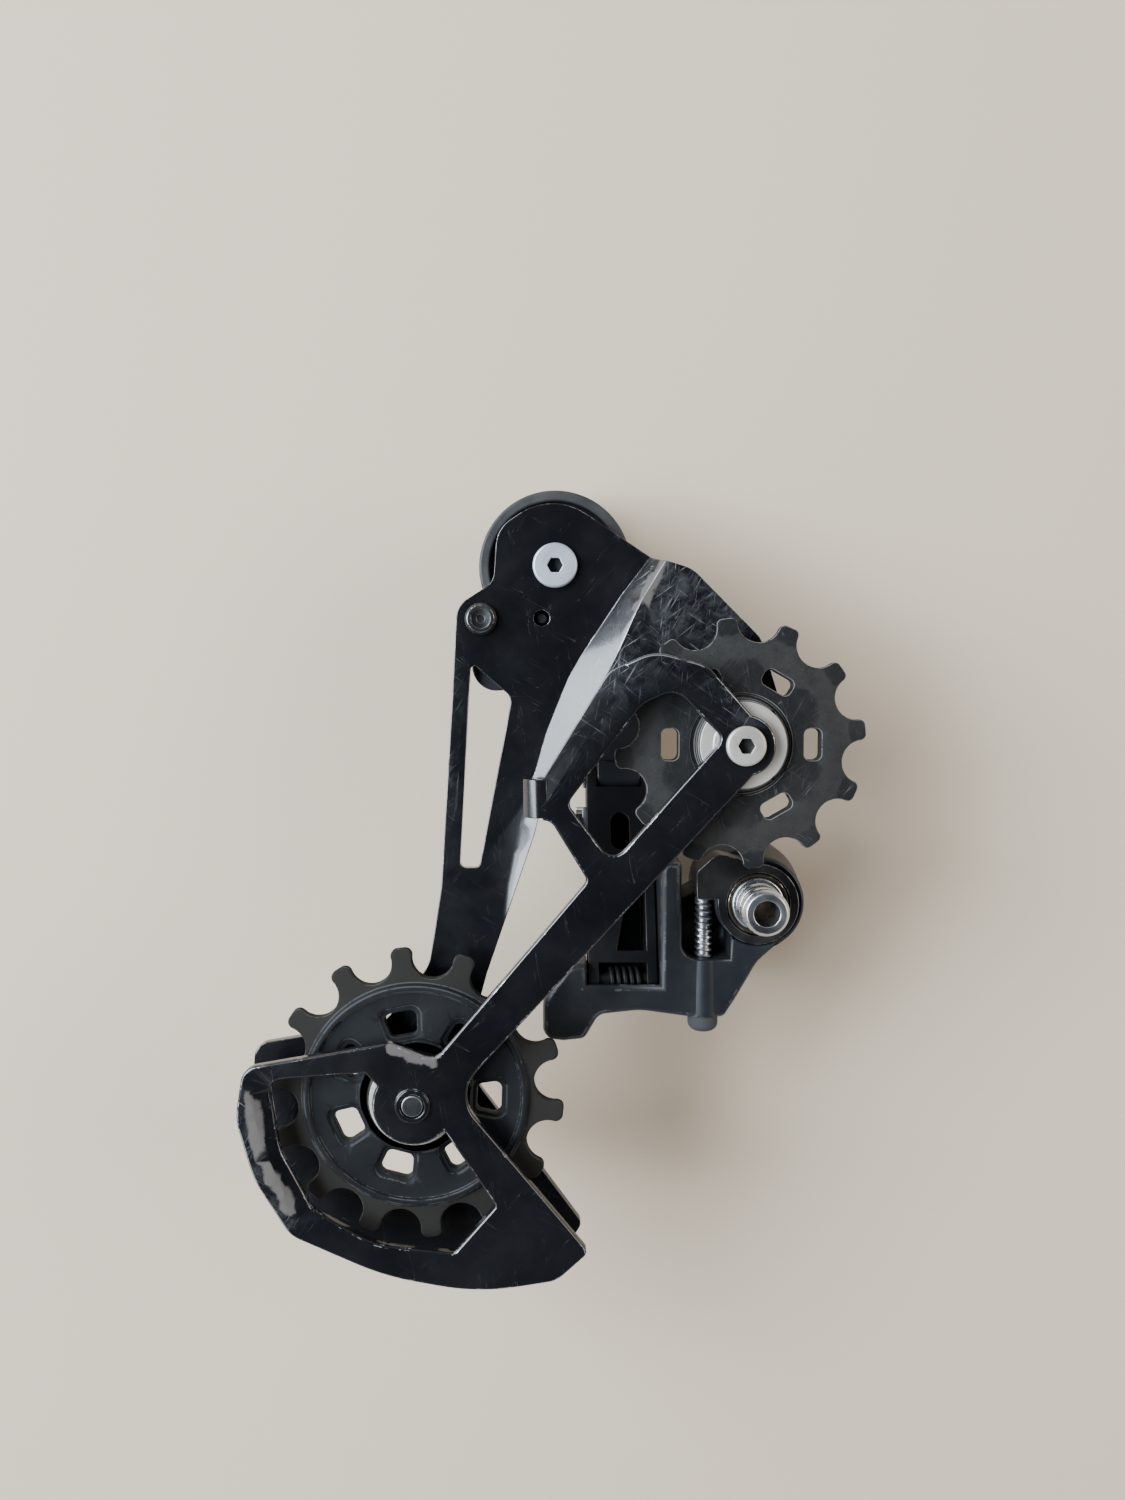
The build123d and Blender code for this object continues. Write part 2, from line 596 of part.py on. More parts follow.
with BuildPart() as clutch_cover:
    with BuildSketch(Plane.XY.offset(P_END - GASKET_T)):
        with Locations(PIVOT):
            Circle(P_WALL_R)
    extrude(amount=COVER_BOTTOM - P_END + GASKET_T)
    fillet(clutch_cover.faces().sort_by(Axis.Z)[0].edges(), radius=1.4)
    with BuildSketch(Plane.XY.offset(P_END - GASKET_T)):
        with Locations(*lug_points):
            Circle(3.0)
    extrude(amount=-2.4)
    with BuildSketch(Plane.XY.offset(P_END - GASKET_T)):
        with Locations(PIVOT):
            Circle(P_BORE_R)
    extrude(amount=-2.4, mode=Mode.SUBTRACT)
    with BuildSketch(Plane.XY.offset(P_END)):
        with Locations(*lug_points):
            Circle(1.25)
    extrude(amount=-8, mode=Mode.SUBTRACT)
    with BuildSketch(Plane.XY.offset(P_END - GASKET_T - 2.4)):
        with Locations(*lug_points):
            Circle(2.4)
    extrude(amount=-8, mode=Mode.SUBTRACT)
clutch_cover.part.label = "clutch_cover"
export_step(clutch_cover.part, "parts/clutch_cover.step")

with BuildPart() as clutch_cover_screws:
    with BuildSketch(Plane.XY.offset(P_END + 5.5)):
        with Locations(*lug_points):
            Circle(1.25)
    extrude(amount=-5.5 - GASKET_T - 2.4)
    with BuildSketch(Plane.XY.offset(P_END - GASKET_T - 2.4)):
        with Locations(*lug_points):
            Circle(2.3)
    extrude(amount=-1.6)
    with BuildSketch(Plane.XY.offset(P_END - GASKET_T - 4.0)):
        with Locations(*lug_points):
            RegularPolygon(radius=1.2, side_count=6)
    extrude(amount=1.1, mode=Mode.SUBTRACT)
clutch_cover_screws.part.label = "clutch_cover_screws"
export_step(clutch_cover_screws.part, "parts/clutch_cover_screws.step")

# ---------------------------------------------------------------- cage
outer_face = outline([
    (-58.3, 70.6, 4), (-57.5, 82.0, 7), (-45.5, 90.0, 13), (-34.5, 82.6, 6), (-23.6, 75.4, 8),
    (-16.0, 73.2, 7), (-1.2, 58.4, 5), (2.6, 46.0, 6), (2.4, 36.2, 3), (-3, 27.6, 4), (-14.0, 33.0, 3),
    (-13.0, 45.4, 4), (-20.5, 50.6, 5), (-32.0, 49.6, 5), (-46.8, 26.8, 4),
    (-49.4, 16.4, 6), (-59.8, -14.0, 8), (-63.0, -26, 6), (-62.0, -38.0, 7), (-39.0, -69.4, 2),
    (-42.6, -75.0, 4), (-61.0, -78.4, 48), (-84.8, -74.4, 38), (-100.0, -65.4, 6),
    (-110.8, -38.0, 6), (-110.2, -29.4, 3.5), (-82.0, -24.6, 6), (-72.2, -12.0, 8),
    (-69.6, 5.0, 20), (-66.2, 65.6, 5),
])
outer_window = outline([
    (-63.3, 53.6, 0.8), (-54.4, 45.8, 3), (-61.4, 9.0, 1.2), (-65.6, 9.0, 1.2),
])
guard_window = outline([
    (-104.4, -32.9, 3), (-84.2, -31.4, 0), (-78, -38.2, 0), (-69, -42, 0), (-57.2, -59.6, 1.2),
    (-66.0, -69.7, 1.5), (-82.0, -68.0, 14), (-95.8, -60.4, 6), (-102.2, -47.5, 16),
])
outer_guard_window = outline([
    (-104.4, -32.9, 3), (-84.2, -31.4, 0), (-78, -38.2, 0), (-69, -42, 0), (-59.6, -55.4, 1.2),
    (-66.6, -63.6, 1.5), (-81.4, -62.4, 12), (-94.4, -56.6, 7),
])
step_foot = [
    (-23.9, 76.6), (-31.0, 67.4), (-39.6, 54.5), (-44.4, 45.9), (-48.6, 37.7), (-52.4, 28.3),
    (-58.2, 17.6), (-65.0, 2.0), (-78.0, -30.0), (30, -30), (30, 90),
]
step_crest = [
    (-21.2, 75.4), (-26.6, 66.6), (-31.6, 55.6), (-36.4, 45.9), (-40.8, 37.7), (-44.6, 28.3),
    (-48.4, 17.6), (-53.6, 2.0), (-61.0, -30.0), (30, -30), (30, 90),
]


def step_body(drop):
    """Ruled body whose left flank is the pressed bevel of the outer cage plate."""
    with BuildPart() as made:
        with BuildSketch(Plane.XY.offset(HUB_TOP - drop)):
            Polygon(*step_foot, align=None)
        with BuildSketch(Plane.XY.offset(OUT_TOP - drop)):
            Polygon(*step_crest, align=None)
        loft(ruled=True)
    return made.part


raised = step_body(0)
hollow = step_body(PLATE_T)
ARM_START = 50.0
ARM_END = -12.0
with BuildPart() as outer_cage_plate:
    with BuildSketch(Plane.YZ.offset(-130)):
        with BuildLine():
            Polyline(
                (100, HUB_TOP), (ARM_START, HUB_TOP), (ARM_END, OUT_TOP), (-90, OUT_TOP),
                (-90, OUT_BOTTOM), (ARM_END, OUT_BOTTOM), (ARM_START, HUB_BOTTOM),
                (100, HUB_BOTTOM), close=True,
            )
        make_face()
    extrude(amount=160)
    add(raised)
    add(hollow, mode=Mode.SUBTRACT)
    with BuildSketch(Plane.XY.offset(-10)):
        add(outer_face)
        add(outer_window, mode=Mode.SUBTRACT)
        add(outer_guard_window, mode=Mode.SUBTRACT)
        with Locations(LOWER):
            Circle(8.4)
        with Locations(PIVOT):
            Circle(3.0, mode=Mode.SUBTRACT)
        with Locations(UPPER, LOWER):
            Circle(PULLEY_BOLT_R, mode=Mode.SUBTRACT)
        with Locations(SPRING_HOLE):
            Circle(1.7, mode=Mode.SUBTRACT)
        with Locations(STOP_PIN):
            Circle(STOP_PIN_R, mode=Mode.SUBTRACT)
    extrude(amount=30, mode=Mode.INTERSECT)
outer_cage_plate.part.label = "outer_cage_plate"
export_step(outer_cage_plate.part, "parts/outer_cage_plate.step")

inner_face = outline([
    (-3.6, 40.6, 0), (-14.0, 52.4, 8), (-25.0, 55.4, 9), (-34.0, 51.2, 5), (-47.4, 29.4, 0),
    (-47.4, 21.0, 0), (-45.6, 20.6, 2.5), (-38.3, 8.6, 1.6), (-69.8, -28.8, 3.5), (-78.6, -25.0, 5),
    (-109.4, -30.4, 4), (-111.2, -41.0, 14), (-107.6, -54.0, 22), (-100.2, -66.0, 7),
    (-80.6, -74.8, 55), (-61.0, -78.4, 48), (-44.6, -75.8, 6), (-37.8, -69.6, 1.6),
    (-65.6, -36.0, 7.5), (-3.4, 31.6, 0),
])
loop_window = outline([
    (-20.6, 47.6, 4), (-10.8, 37.6, 2), (-33.2, 12.2, 3), (-42.4, 24.4, 2), (-27.2, 44.6, 6),
])
CREST_LOW = (-44.9, 27.3)
CREST_HIGH = (-31.2, 49.4)
FLANK_WIDTH = 4.4
FLANK_DROP = 0.95
crest_plane = Plane(
    origin=(*CREST_LOW, IN_TOP),
    x_dir=(CREST_LOW[1] - CREST_HIGH[1], CREST_HIGH[0] - CREST_LOW[0], 0),
    z_dir=(CREST_HIGH[0] - CREST_LOW[0], CREST_HIGH[1] - CREST_LOW[1], 0),
)
with BuildPart() as inner_cage_plate:
    with BuildSketch(Plane.XY.offset(IN_BOTTOM)):
        add(inner_face)
        with Locations(UPPER):
            Circle(6.3)
        add(loop_window, mode=Mode.SUBTRACT)
        add(guard_window, mode=Mode.SUBTRACT)
        with Locations(LOWER):
            Circle(8.4)
        with Locations(UPPER):
            Circle(PULLEY_BOLT_R + GAP, mode=Mode.SUBTRACT)
    extrude(amount=IN_TOP - IN_BOTTOM)
    chamfer(inner_cage_plate.faces().sort_by(Axis.Z)[-1].edges(), length=0.35)
    with BuildSketch(crest_plane.offset(-3)):
        with BuildLine():
            Polyline((0, 0), (FLANK_WIDTH, -FLANK_DROP), (FLANK_WIDTH, 1), (0, 1), close=True)
        make_face()
    extrude(amount=hypot(CREST_HIGH[0] - CREST_LOW[0], CREST_HIGH[1] - CREST_LOW[1]) + 6,
            mode=Mode.SUBTRACT)
    with BuildSketch(Plane.XY.offset(IN_TOP - 0.3)):
        with Locations(LOWER):
            Circle(3.5)
    extrude(amount=0.9)
    with BuildSketch(Plane.XY.offset(0)):
        with Locations(LOWER):
            Circle(PULLEY_BOLT_R)
    extrude(amount=30, mode=Mode.SUBTRACT)
    with BuildSketch(Plane.XZ.offset(-21.4)):
        with BuildLine():
            Polyline(
                (-46.6, IN_TOP), (-51.5, IN_TOP), (-51.5, 5.2), (-49.5, 5.2),
                (-49.5, IN_BOTTOM), (-46.6, IN_BOTTOM), close=True,
            )
        make_face()
    extrude(amount=-7.9)
    tab_edge = inner_cage_plate.edges().filter_by(Axis.Y).sort_by(Axis.X)[:2].sort_by(Axis.Z)[-1]
    fillet(tab_edge, radius=3.4)
inner_cage_plate.part.label = "inner_cage_plate"
export_step(inner_cage_plate.part, "parts/inner_cage_plate.step")

with BuildPart() as cage_axle:
    with BuildSketch(Plane.XY.offset(HUB_BOTTOM)):
        with Locations(PIVOT):
            Circle(7.4)
    extrude(amount=-2.2)
    with BuildSketch(Plane.XY.offset(HUB_BOTTOM)):
        with Locations(PIVOT):
            Circle(AXLE_R)
    extrude(amount=-30.9)
    with BuildSketch(Plane.XY.offset(HUB_BOTTOM)):
        with Locations(PIVOT):
            Circle(3.0)
    extrude(amount=-14, mode=Mode.SUBTRACT)
    with BuildSketch(Plane.XY.offset(-29.9)):
        with Locations(PIVOT):
            Circle(AXLE_R + 1)
            Circle(AXLE_R - 0.5, mode=Mode.SUBTRACT)
    extrude(amount=-0.8, mode=Mode.SUBTRACT)
cage_axle.part.label = "cage_axle"
export_step(cage_axle.part, "parts/cage_axle.step")

with BuildPart() as axle_clip:
    with BuildSketch(Plane.XY.offset(-29.9)):
        with Locations(PIVOT):
            Circle(6.4)
            Circle(AXLE_R - 0.5, mode=Mode.SUBTRACT)
        with Locations((px - 5, py)):
            Rectangle(8, 5.2, mode=Mode.SUBTRACT)
    extrude(amount=-0.8)
axle_clip.part.label = "axle_clip"
export_step(axle_clip.part, "parts/axle_clip.step")

with BuildPart() as cage_pivot_bolt:
    with BuildSketch(Plane.XY.offset(HUB_TOP)):
        with Locations(PIVOT):
            Circle(4.8)
    extrude(amount=1.4)
    chamfer(cage_pivot_bolt.faces().sort_by(Axis.Z)[-1].edges(), length=0.35)
    with BuildSketch(Plane.XY.offset(HUB_TOP)):
        with Locations(PIVOT):
            Circle(3.0)
    extrude(amount=-13)
    with BuildSketch(Plane.XY.offset(HUB_TOP + 1.4)):
        with Locations(PIVOT):
            RegularPolygon(radius=1.75, side_count=6)
    extrude(amount=-2.6, mode=Mode.SUBTRACT)
cage_pivot_bolt.part.label = "cage_pivot_bolt"
export_step(cage_pivot_bolt.part, "parts/cage_pivot_bolt.step")

leg_x = SPRING_HOLE[0] - px
leg_y = SPRING_HOLE[1] - py
leg_r = hypot(leg_x, leg_y)
coil_plane = Plane(origin=(px, py, -15.6), x_dir=(leg_x, leg_y, 0), z_dir=(0, 0, 1))
with BuildPart() as cage_spring:
    with BuildLine(coil_plane) as coil:
        Helix(pitch=2.3, height=2.3 * CAGE_SPRING_TURNS, radius=leg_r)
    with BuildSketch(Plane(origin=coil.line @ 0, z_dir=coil.line % 0)):
        Circle(CAGE_WIRE_R)
    sweep()
    with BuildSketch(Plane.XY.offset(-15.6 + 2.3 * CAGE_SPRING_TURNS)):
        with Locations(SPRING_HOLE):
            Circle(CAGE_WIRE_R)
    extrude(amount=HUB_TOP - 1.7 + 15.6 - 2.3 * CAGE_SPRING_TURNS)
cage_spring.part.label = "cage_spring"
export_step(cage_spring.part, "parts/cage_spring.step")

with BuildPart() as stop_pin:
    with BuildSketch(Plane.XY.offset(HUB_TOP)):
        with Locations(STOP_PIN):
            Circle(3.4)
    extrude(amount=1.5)
    chamfer(stop_pin.faces().sort_by(Axis.Z)[-1].edges(), length=0.5)
    with BuildSketch(Plane.XY.offset(HUB_TOP + 1.5)):
        with Locations(STOP_PIN):
            Circle(2.1)
    extrude(amount=-0.6, mode=Mode.SUBTRACT)
    with BuildSketch(Plane.XY.offset(HUB_TOP)):
        with Locations(STOP_PIN):
            Circle(STOP_PIN_R)
    extrude(amount=-8)
    with BuildSketch(Plane.XY.offset(HUB_TOP + 1.5)):
        with Locations(STOP_PIN):
            Circle(0.9)
    extrude(amount=-1.1, mode=Mode.SUBTRACT)
stop_pin.part.label = "stop_pin"
export_step(stop_pin.part, "parts/stop_pin.step")

with BuildPart() as upper_pulley_bolt:
    with BuildSketch(Plane.XY.offset(IN_TOP)):
        with Locations(UPPER):
            Circle(4.07)
    extrude(amount=1.5)
    chamfer(upper_pulley_bolt.faces().sort_by(Axis.Z)[-1].edges(), length=0.4)
    with BuildSketch(Plane.XY.offset(IN_TOP)):
        with Locations(UPPER):
            Circle(PULLEY_BOLT_R)
    extrude(amount=OUT_BOTTOM - 0.6 - IN_TOP)
    with BuildSketch(Plane.XY.offset(IN_TOP + 1.5)):
        with Locations(UPPER):
            RegularPolygon(radius=1.75, side_count=6)
    extrude(amount=-2.4, mode=Mode.SUBTRACT)
upper_pulley_bolt.part.label = "upper_pulley_bolt"
export_step(upper_pulley_bolt.part, "parts/upper_pulley_bolt.step")

with BuildPart() as lower_pulley_bolt:
    with BuildSketch(Plane.XY.offset(OUT_BOTTOM)):
        with Locations(LOWER):
            Circle(4.07)
    extrude(amount=-1.5)
    chamfer(lower_pulley_bolt.faces().sort_by(Axis.Z)[0].edges(), length=0.4)
    with BuildSketch(Plane.XY.offset(OUT_BOTTOM)):
        with Locations(LOWER):
            Circle(PULLEY_BOLT_R)
    extrude(amount=IN_TOP + 0.5 - OUT_BOTTOM)
    chamfer(lower_pulley_bolt.faces().sort_by(Axis.Z)[-1].edges(), length=0.4)
    with BuildSketch(Plane.XY.offset(OUT_BOTTOM - 1.5)):
        with Locations(LOWER):
            RegularPolygon(radius=1.75, side_count=6)
    extrude(amount=2.4, mode=Mode.SUBTRACT)
lower_pulley_bolt.part.label = "lower_pulley_bolt"
export_step(lower_pulley_bolt.part, "parts/lower_pulley_bolt.step")

for spot_name, spot, shield_r in (("upper", UPPER, 8.9), ("lower", LOWER, 9.4)):
    with BuildPart() as pulley_bushing:
        with BuildSketch(Plane.XY.offset(OUT_TOP)):
            with Locations(spot):
                Circle(BUSH_R)
                Circle(PULLEY_BOLT_R, mode=Mode.SUBTRACT)
        extrude(amount=CAGE_GAP)
    pulley_bushing.part.label = spot_name + "_bushing"
    export_step(pulley_bushing.part, "parts/" + spot_name + "_bushing.step")

    for side_name, face_z, turn in (("inner", IN_BOTTOM, -1), ("outer", OUT_TOP, 1)):
        with BuildPart() as shield:
            with BuildSketch(Plane.XY.offset(face_z)):
                with Locations(spot):
                    Circle(6.2)
                    Circle(BUSH_R, mode=Mode.SUBTRACT)
            extrude(amount=turn * 0.9)
            with BuildSketch(Plane.XY.offset(face_z + turn * 0.3)):
                with Locations(spot):
                    Circle(shield_r)
                    Circle(BUSH_R, mode=Mode.SUBTRACT)
            extrude(amount=turn * 0.7)
        shield.part.label = spot_name + "_shield_" + side_name
        export_step(shield.part, "parts/" + spot_name + "_shield_" + side_name + ".step")

# ---------------------------------------------------------------- pulleys
HUB_HALF = CAGE_GAP / 2 - 1.1
upper_teeth = toothed(UPPER_TEETH, UPPER_TIP, UPPER_ROOT, 4.5, 7.2, 6.9, 1.3)
lower_teeth = toothed(LOWER_TEETH, LOWER_TIP, LOWER_ROOT, 4.4, 6.6, 18.6, 1.5)
with BuildPart() as upper_pulley:
    with BuildSketch(Plane(origin=(*UPPER, PULLEY_Z), x_dir=(1, 0, 0), z_dir=(0, -1, 0))):
        with BuildLine():
            Polyline(
                (BUSH_R + RUN, -HUB_HALF), (9.2, -HUB_HALF), (9.6, -3.2), (9.6, -1.2), (10.4, -1.2),
                (10.6, -1.9), (18.2, -1.9), (22.2, -1.1), (UPPER_TIP + 0.2, -0.75),
                (UPPER_TIP + 0.2, 0.75), (22.2, 1.1), (18.2, 1.9), (10.6, 1.9), (10.4, 1.2),
                (9.6, 1.2), (9.6, 3.2), (9.2, HUB_HALF), (BUSH_R + RUN, HUB_HALF), close=True,
            )
        make_face()
    revolve(axis=Axis((*UPPER, 0), (0, 0, 1)))
    with BuildSketch(Plane(origin=(*UPPER, PULLEY_Z - 6))):
        add(upper_teeth)
        with PolarLocations(14.8, 6):
            RectangleRounded(3.6, 6.6, 1.3, mode=Mode.SUBTRACT)
    extrude(amount=12, mode=Mode.INTERSECT)
upper_pulley.part.label = "upper_pulley"
export_step(upper_pulley.part, "parts/upper_pulley.step")

WINDOWS = LOWER_TEETH // 2
window_hole = outline([(-2.6, -2.7, 1.3), (2.6, -3.7, 1.5), (2.6, 3.7, 1.5), (-2.6, 2.7, 1.3)])
window_rim = outline([(-3.7, -3.6, 1.8), (3.7, -4.9, 2.2), (3.7, 4.9, 2.2), (-3.7, 3.6, 1.8)])
with BuildPart() as lower_pulley:
    with BuildSketch(Plane(origin=(*LOWER, PULLEY_Z), x_dir=(1, 0, 0), z_dir=(0, -1, 0))):
        with BuildLine():
            Polyline(
                (BUSH_R + RUN, -HUB_HALF), (9.8, -HUB_HALF), (10.1, -3.2), (10.1, -1.4), (11.2, -1.4),
                (11.4, -2.3), (12.1, -2.3), (12.4, -1.5), (20.0, -1.3), (22.3, -1.5),
                (22.5, -2.1), (23.6, -2.1), (24.2, -1.2), (LOWER_TIP + 0.2, -0.75),
                (LOWER_TIP + 0.2, 0.75), (24.2, 1.2), (23.6, 2.1), (22.5, 2.1), (22.3, 1.5),
                (20.0, 1.3), (12.4, 1.5), (12.1, 2.3), (11.4, 2.3), (11.2, 1.4), (10.1, 1.4),
                (10.1, 3.2), (9.8, HUB_HALF), (BUSH_R + RUN, HUB_HALF), close=True,
            )
        make_face()
    revolve(axis=Axis((*LOWER, 0), (0, 0, 1)))
    with BuildSketch(Plane(origin=(*LOWER, PULLEY_Z - 6))):
        add(lower_teeth)
        with PolarLocations(15.5, WINDOWS, start_angle=-2):
            add(window_hole, mode=Mode.SUBTRACT)
    extrude(amount=12, mode=Mode.INTERSECT)
    for rim_z, rim_up in ((PULLEY_Z + 1.0, 2), (PULLEY_Z - 1.0, -2)):
        with BuildSketch(Plane(origin=(*LOWER, rim_z))):
            with PolarLocations(15.5, WINDOWS, start_angle=-2):
                add(window_rim)
        extrude(amount=rim_up, mode=Mode.SUBTRACT)
lower_pulley.part.label = "lower_pulley"
export_step(lower_pulley.part, "parts/lower_pulley.step")
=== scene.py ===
import json
import math

import bmesh
import bpy
from mathutils import Matrix, Vector
from mathutils.bvhtree import BVHTree
from mathutils.kdtree import KDTree


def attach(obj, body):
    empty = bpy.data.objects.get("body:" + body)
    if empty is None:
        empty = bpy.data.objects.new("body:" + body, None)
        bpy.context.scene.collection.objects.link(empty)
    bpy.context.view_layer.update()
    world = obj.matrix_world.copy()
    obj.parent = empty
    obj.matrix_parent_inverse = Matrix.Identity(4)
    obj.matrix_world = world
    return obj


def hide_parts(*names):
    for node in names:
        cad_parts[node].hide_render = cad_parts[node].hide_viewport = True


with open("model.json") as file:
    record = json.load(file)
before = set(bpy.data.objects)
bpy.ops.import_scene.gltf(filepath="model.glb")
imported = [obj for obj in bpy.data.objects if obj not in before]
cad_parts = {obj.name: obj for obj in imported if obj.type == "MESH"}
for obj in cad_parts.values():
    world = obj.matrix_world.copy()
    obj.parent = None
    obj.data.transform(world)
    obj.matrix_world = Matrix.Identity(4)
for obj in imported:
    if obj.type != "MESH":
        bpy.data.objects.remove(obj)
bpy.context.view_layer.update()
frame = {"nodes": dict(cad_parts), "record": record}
NODES = frame["nodes"]
BODY = {}
for body_name, members in frame["record"]["behaviour"]["bodies"].items():
    for member in members:
        BODY[member] = body_name
MM = 0.001
UPPER = (-6.4, 36.2)
LOWER = (-74.4, -38.2)
SMOOTH_BELOW = math.radians(38)
THREAD_SMOOTH_BELOW = math.radians(50)


# ------------------------------------------------------------------ shader groups
def new_group(name, inputs, outputs):
    """Shader node group with float or vector inputs and float outputs."""
    tree = bpy.data.node_groups.new(name, "ShaderNodeTree")
    for label, kind, value in inputs:
        item = tree.interface.new_socket(name=label, in_out="INPUT", socket_type=kind)
        if value is not None:
            item.default_value = value
    for label in outputs:
        tree.interface.new_socket(name=label, in_out="OUTPUT", socket_type="NodeSocketFloat")
    return tree, tree.nodes.new("NodeGroupInput"), tree.nodes.new("NodeGroupOutput")


def maths(tree, operation, a, b=None, clamp=False):
    node = tree.nodes.new("ShaderNodeMath")
    node.operation = operation
    node.use_clamp = clamp
    for index, value in enumerate((a, b)):
        if value is None:
            continue
        if isinstance(value, (int, float)):
            node.inputs[index].default_value = value
        else:
            tree.links.new(value, node.inputs[index])
    return node.outputs[0]


def ramp(tree, value, low, high, out_low=0.0, out_high=1.0):
    node = tree.nodes.new("ShaderNodeMapRange")
    node.interpolation_type = "SMOOTHSTEP"
    tree.links.new(value, node.inputs["Value"])
    node.inputs["From Min"].default_value = low
    node.inputs["From Max"].default_value = high
    node.inputs["To Min"].default_value = out_low
    node.inputs["To Max"].default_value = out_high
    return node.outputs["Result"]


def noise(tree, vector, scale, detail=3.0, rough=0.5, distortion=0.0):
    node = tree.nodes.new("ShaderNodeTexNoise")
    tree.links.new(vector, node.inputs["Vector"])
    if isinstance(scale, (int, float)):
        node.inputs["Scale"].default_value = scale
    else:
        tree.links.new(scale, node.inputs["Scale"])
    node.inputs["Detail"].default_value = detail
    node.inputs["Roughness"].default_value = rough
    node.inputs["Distortion"].default_value = distortion
    return node.outputs["Fac"]


def mapped(tree, vector, turn, stretch, shift=(0, 0, 0)):
    """Turns the coordinates about Z, then stretches and shifts them."""
    spin = tree.nodes.new("ShaderNodeVectorRotate")
    spin.rotation_type = "Z_AXIS"
    tree.links.new(vector, spin.inputs["Vector"])
    spin.inputs["Angle"].default_value = turn
    node = tree.nodes.new("ShaderNodeMapping")
    tree.links.new(spin.outputs["Vector"], node.inputs["Vector"])
    node.inputs["Location"].default_value = shift
    node.inputs["Scale"].default_value = stretch
    return node.outputs["Vector"]


def scratch_group():
    """Fine long scratches in several directions, broken up along their length."""
    tree, inp, out = new_group(
        "fine_scratches",
        [("Vector", "NodeSocketVector", None), ("Amount", "NodeSocketFloat", 0.5)], ["Mask"],
    )
    layers = [
        (0.5, (45, 760, 300), 0.012), (-0.8, (70, 1100, 300), 0.012), (1.35, (55, 900, 300), 0.010),
        (2.3, (120, 1500, 300), 0.012), (-1.75, (160, 2100, 300), 0.015),
    ]
    total = None
    for index, (turn, stretch, width) in enumerate(layers):
        at = mapped(tree, inp.outputs["Vector"], turn, stretch, (index * 3.1, 1.7 * index, 0))
        line = maths(tree, "ABSOLUTE", maths(tree, "SUBTRACT", noise(tree, at, 1.0, 1.0), 0.5))
        line = ramp(tree, line, width, 0.0)
        patch = noise(tree, mapped(tree, inp.outputs["Vector"], turn, (90, 420, 200),
                                   (5.0 * index, 0, 0)), 1.0, 2.0)
        patch = ramp(tree, patch, 0.60, 0.74)
        line = maths(tree, "MULTIPLY", line, patch)
        total = line if total is None else maths(tree, "MAXIMUM", total, line)
    tree.links.new(maths(tree, "MULTIPLY", total, inp.outputs["Amount"], True), out.inputs["Mask"])
    return tree


def wear_group():
    """Coating worn through along edges: wide where noise is high, thin or absent elsewhere."""
    tree, inp, out = new_group(
        "edge_wear",
        [("Vector", "NodeSocketVector", None), ("Edge", "NodeSocketFloat", 0.0),
         ("Amount", "NodeSocketFloat", 0.5)], ["Mask"],
    )
    coarse = noise(tree, inp.outputs["Vector"], 170.0, 3.0, 0.6)
    fine = noise(tree, inp.outputs["Vector"], 1500.0, 3.0, 0.65)
    both = maths(tree, "ADD", maths(tree, "MULTIPLY", coarse, 0.65), maths(tree, "MULTIPLY", fine, 0.35))
    lifted = maths(tree, "ADD", both, maths(tree, "MULTIPLY", inp.outputs["Amount"], 0.30))
    hit = maths(tree, "MULTIPLY", inp.outputs["Edge"], ramp(tree, lifted, 0.52, 0.66))
    tree.links.new(ramp(tree, hit, 0.25, 0.75), out.inputs["Mask"])
    return tree


def dust_group():
    """Dust and dried grime in soft patches with fine specks."""
    tree, inp, out = new_group(
        "dust_patches",
        [("Vector", "NodeSocketVector", None), ("Amount", "NodeSocketFloat", 0.3)], ["Mask"],
    )
    soft = ramp(tree, noise(tree, inp.outputs["Vector"], 90.0, 5.0, 0.62), 0.42, 0.72)
    speck = ramp(tree, noise(tree, inp.outputs["Vector"], 2600.0, 2.0, 0.6), 0.60, 0.72)
    mix = maths(tree, "ADD", maths(tree, "MULTIPLY", soft, 0.65), maths(tree, "MULTIPLY", speck, 0.45))
    tree.links.new(maths(tree, "MULTIPLY", mix, inp.outputs["Amount"], True), out.inputs["Mask"])
    return tree


def grain_group():
    """Scale-true surface grain: height for bump and a slow variation."""
    tree, inp, out = new_group(
        "surface_grain",
        [("Vector", "NodeSocketVector", None), ("Scale", "NodeSocketFloat", 3000.0)],
        ["Height", "Vary"],
    )
    tree.links.new(noise(tree, inp.outputs["Vector"], inp.outputs["Scale"], 4.0, 0.6),
                   out.inputs["Height"])
    tree.links.new(noise(tree, inp.outputs["Vector"], 55.0, 4.0, 0.55, 0.4), out.inputs["Vary"])
    return tree


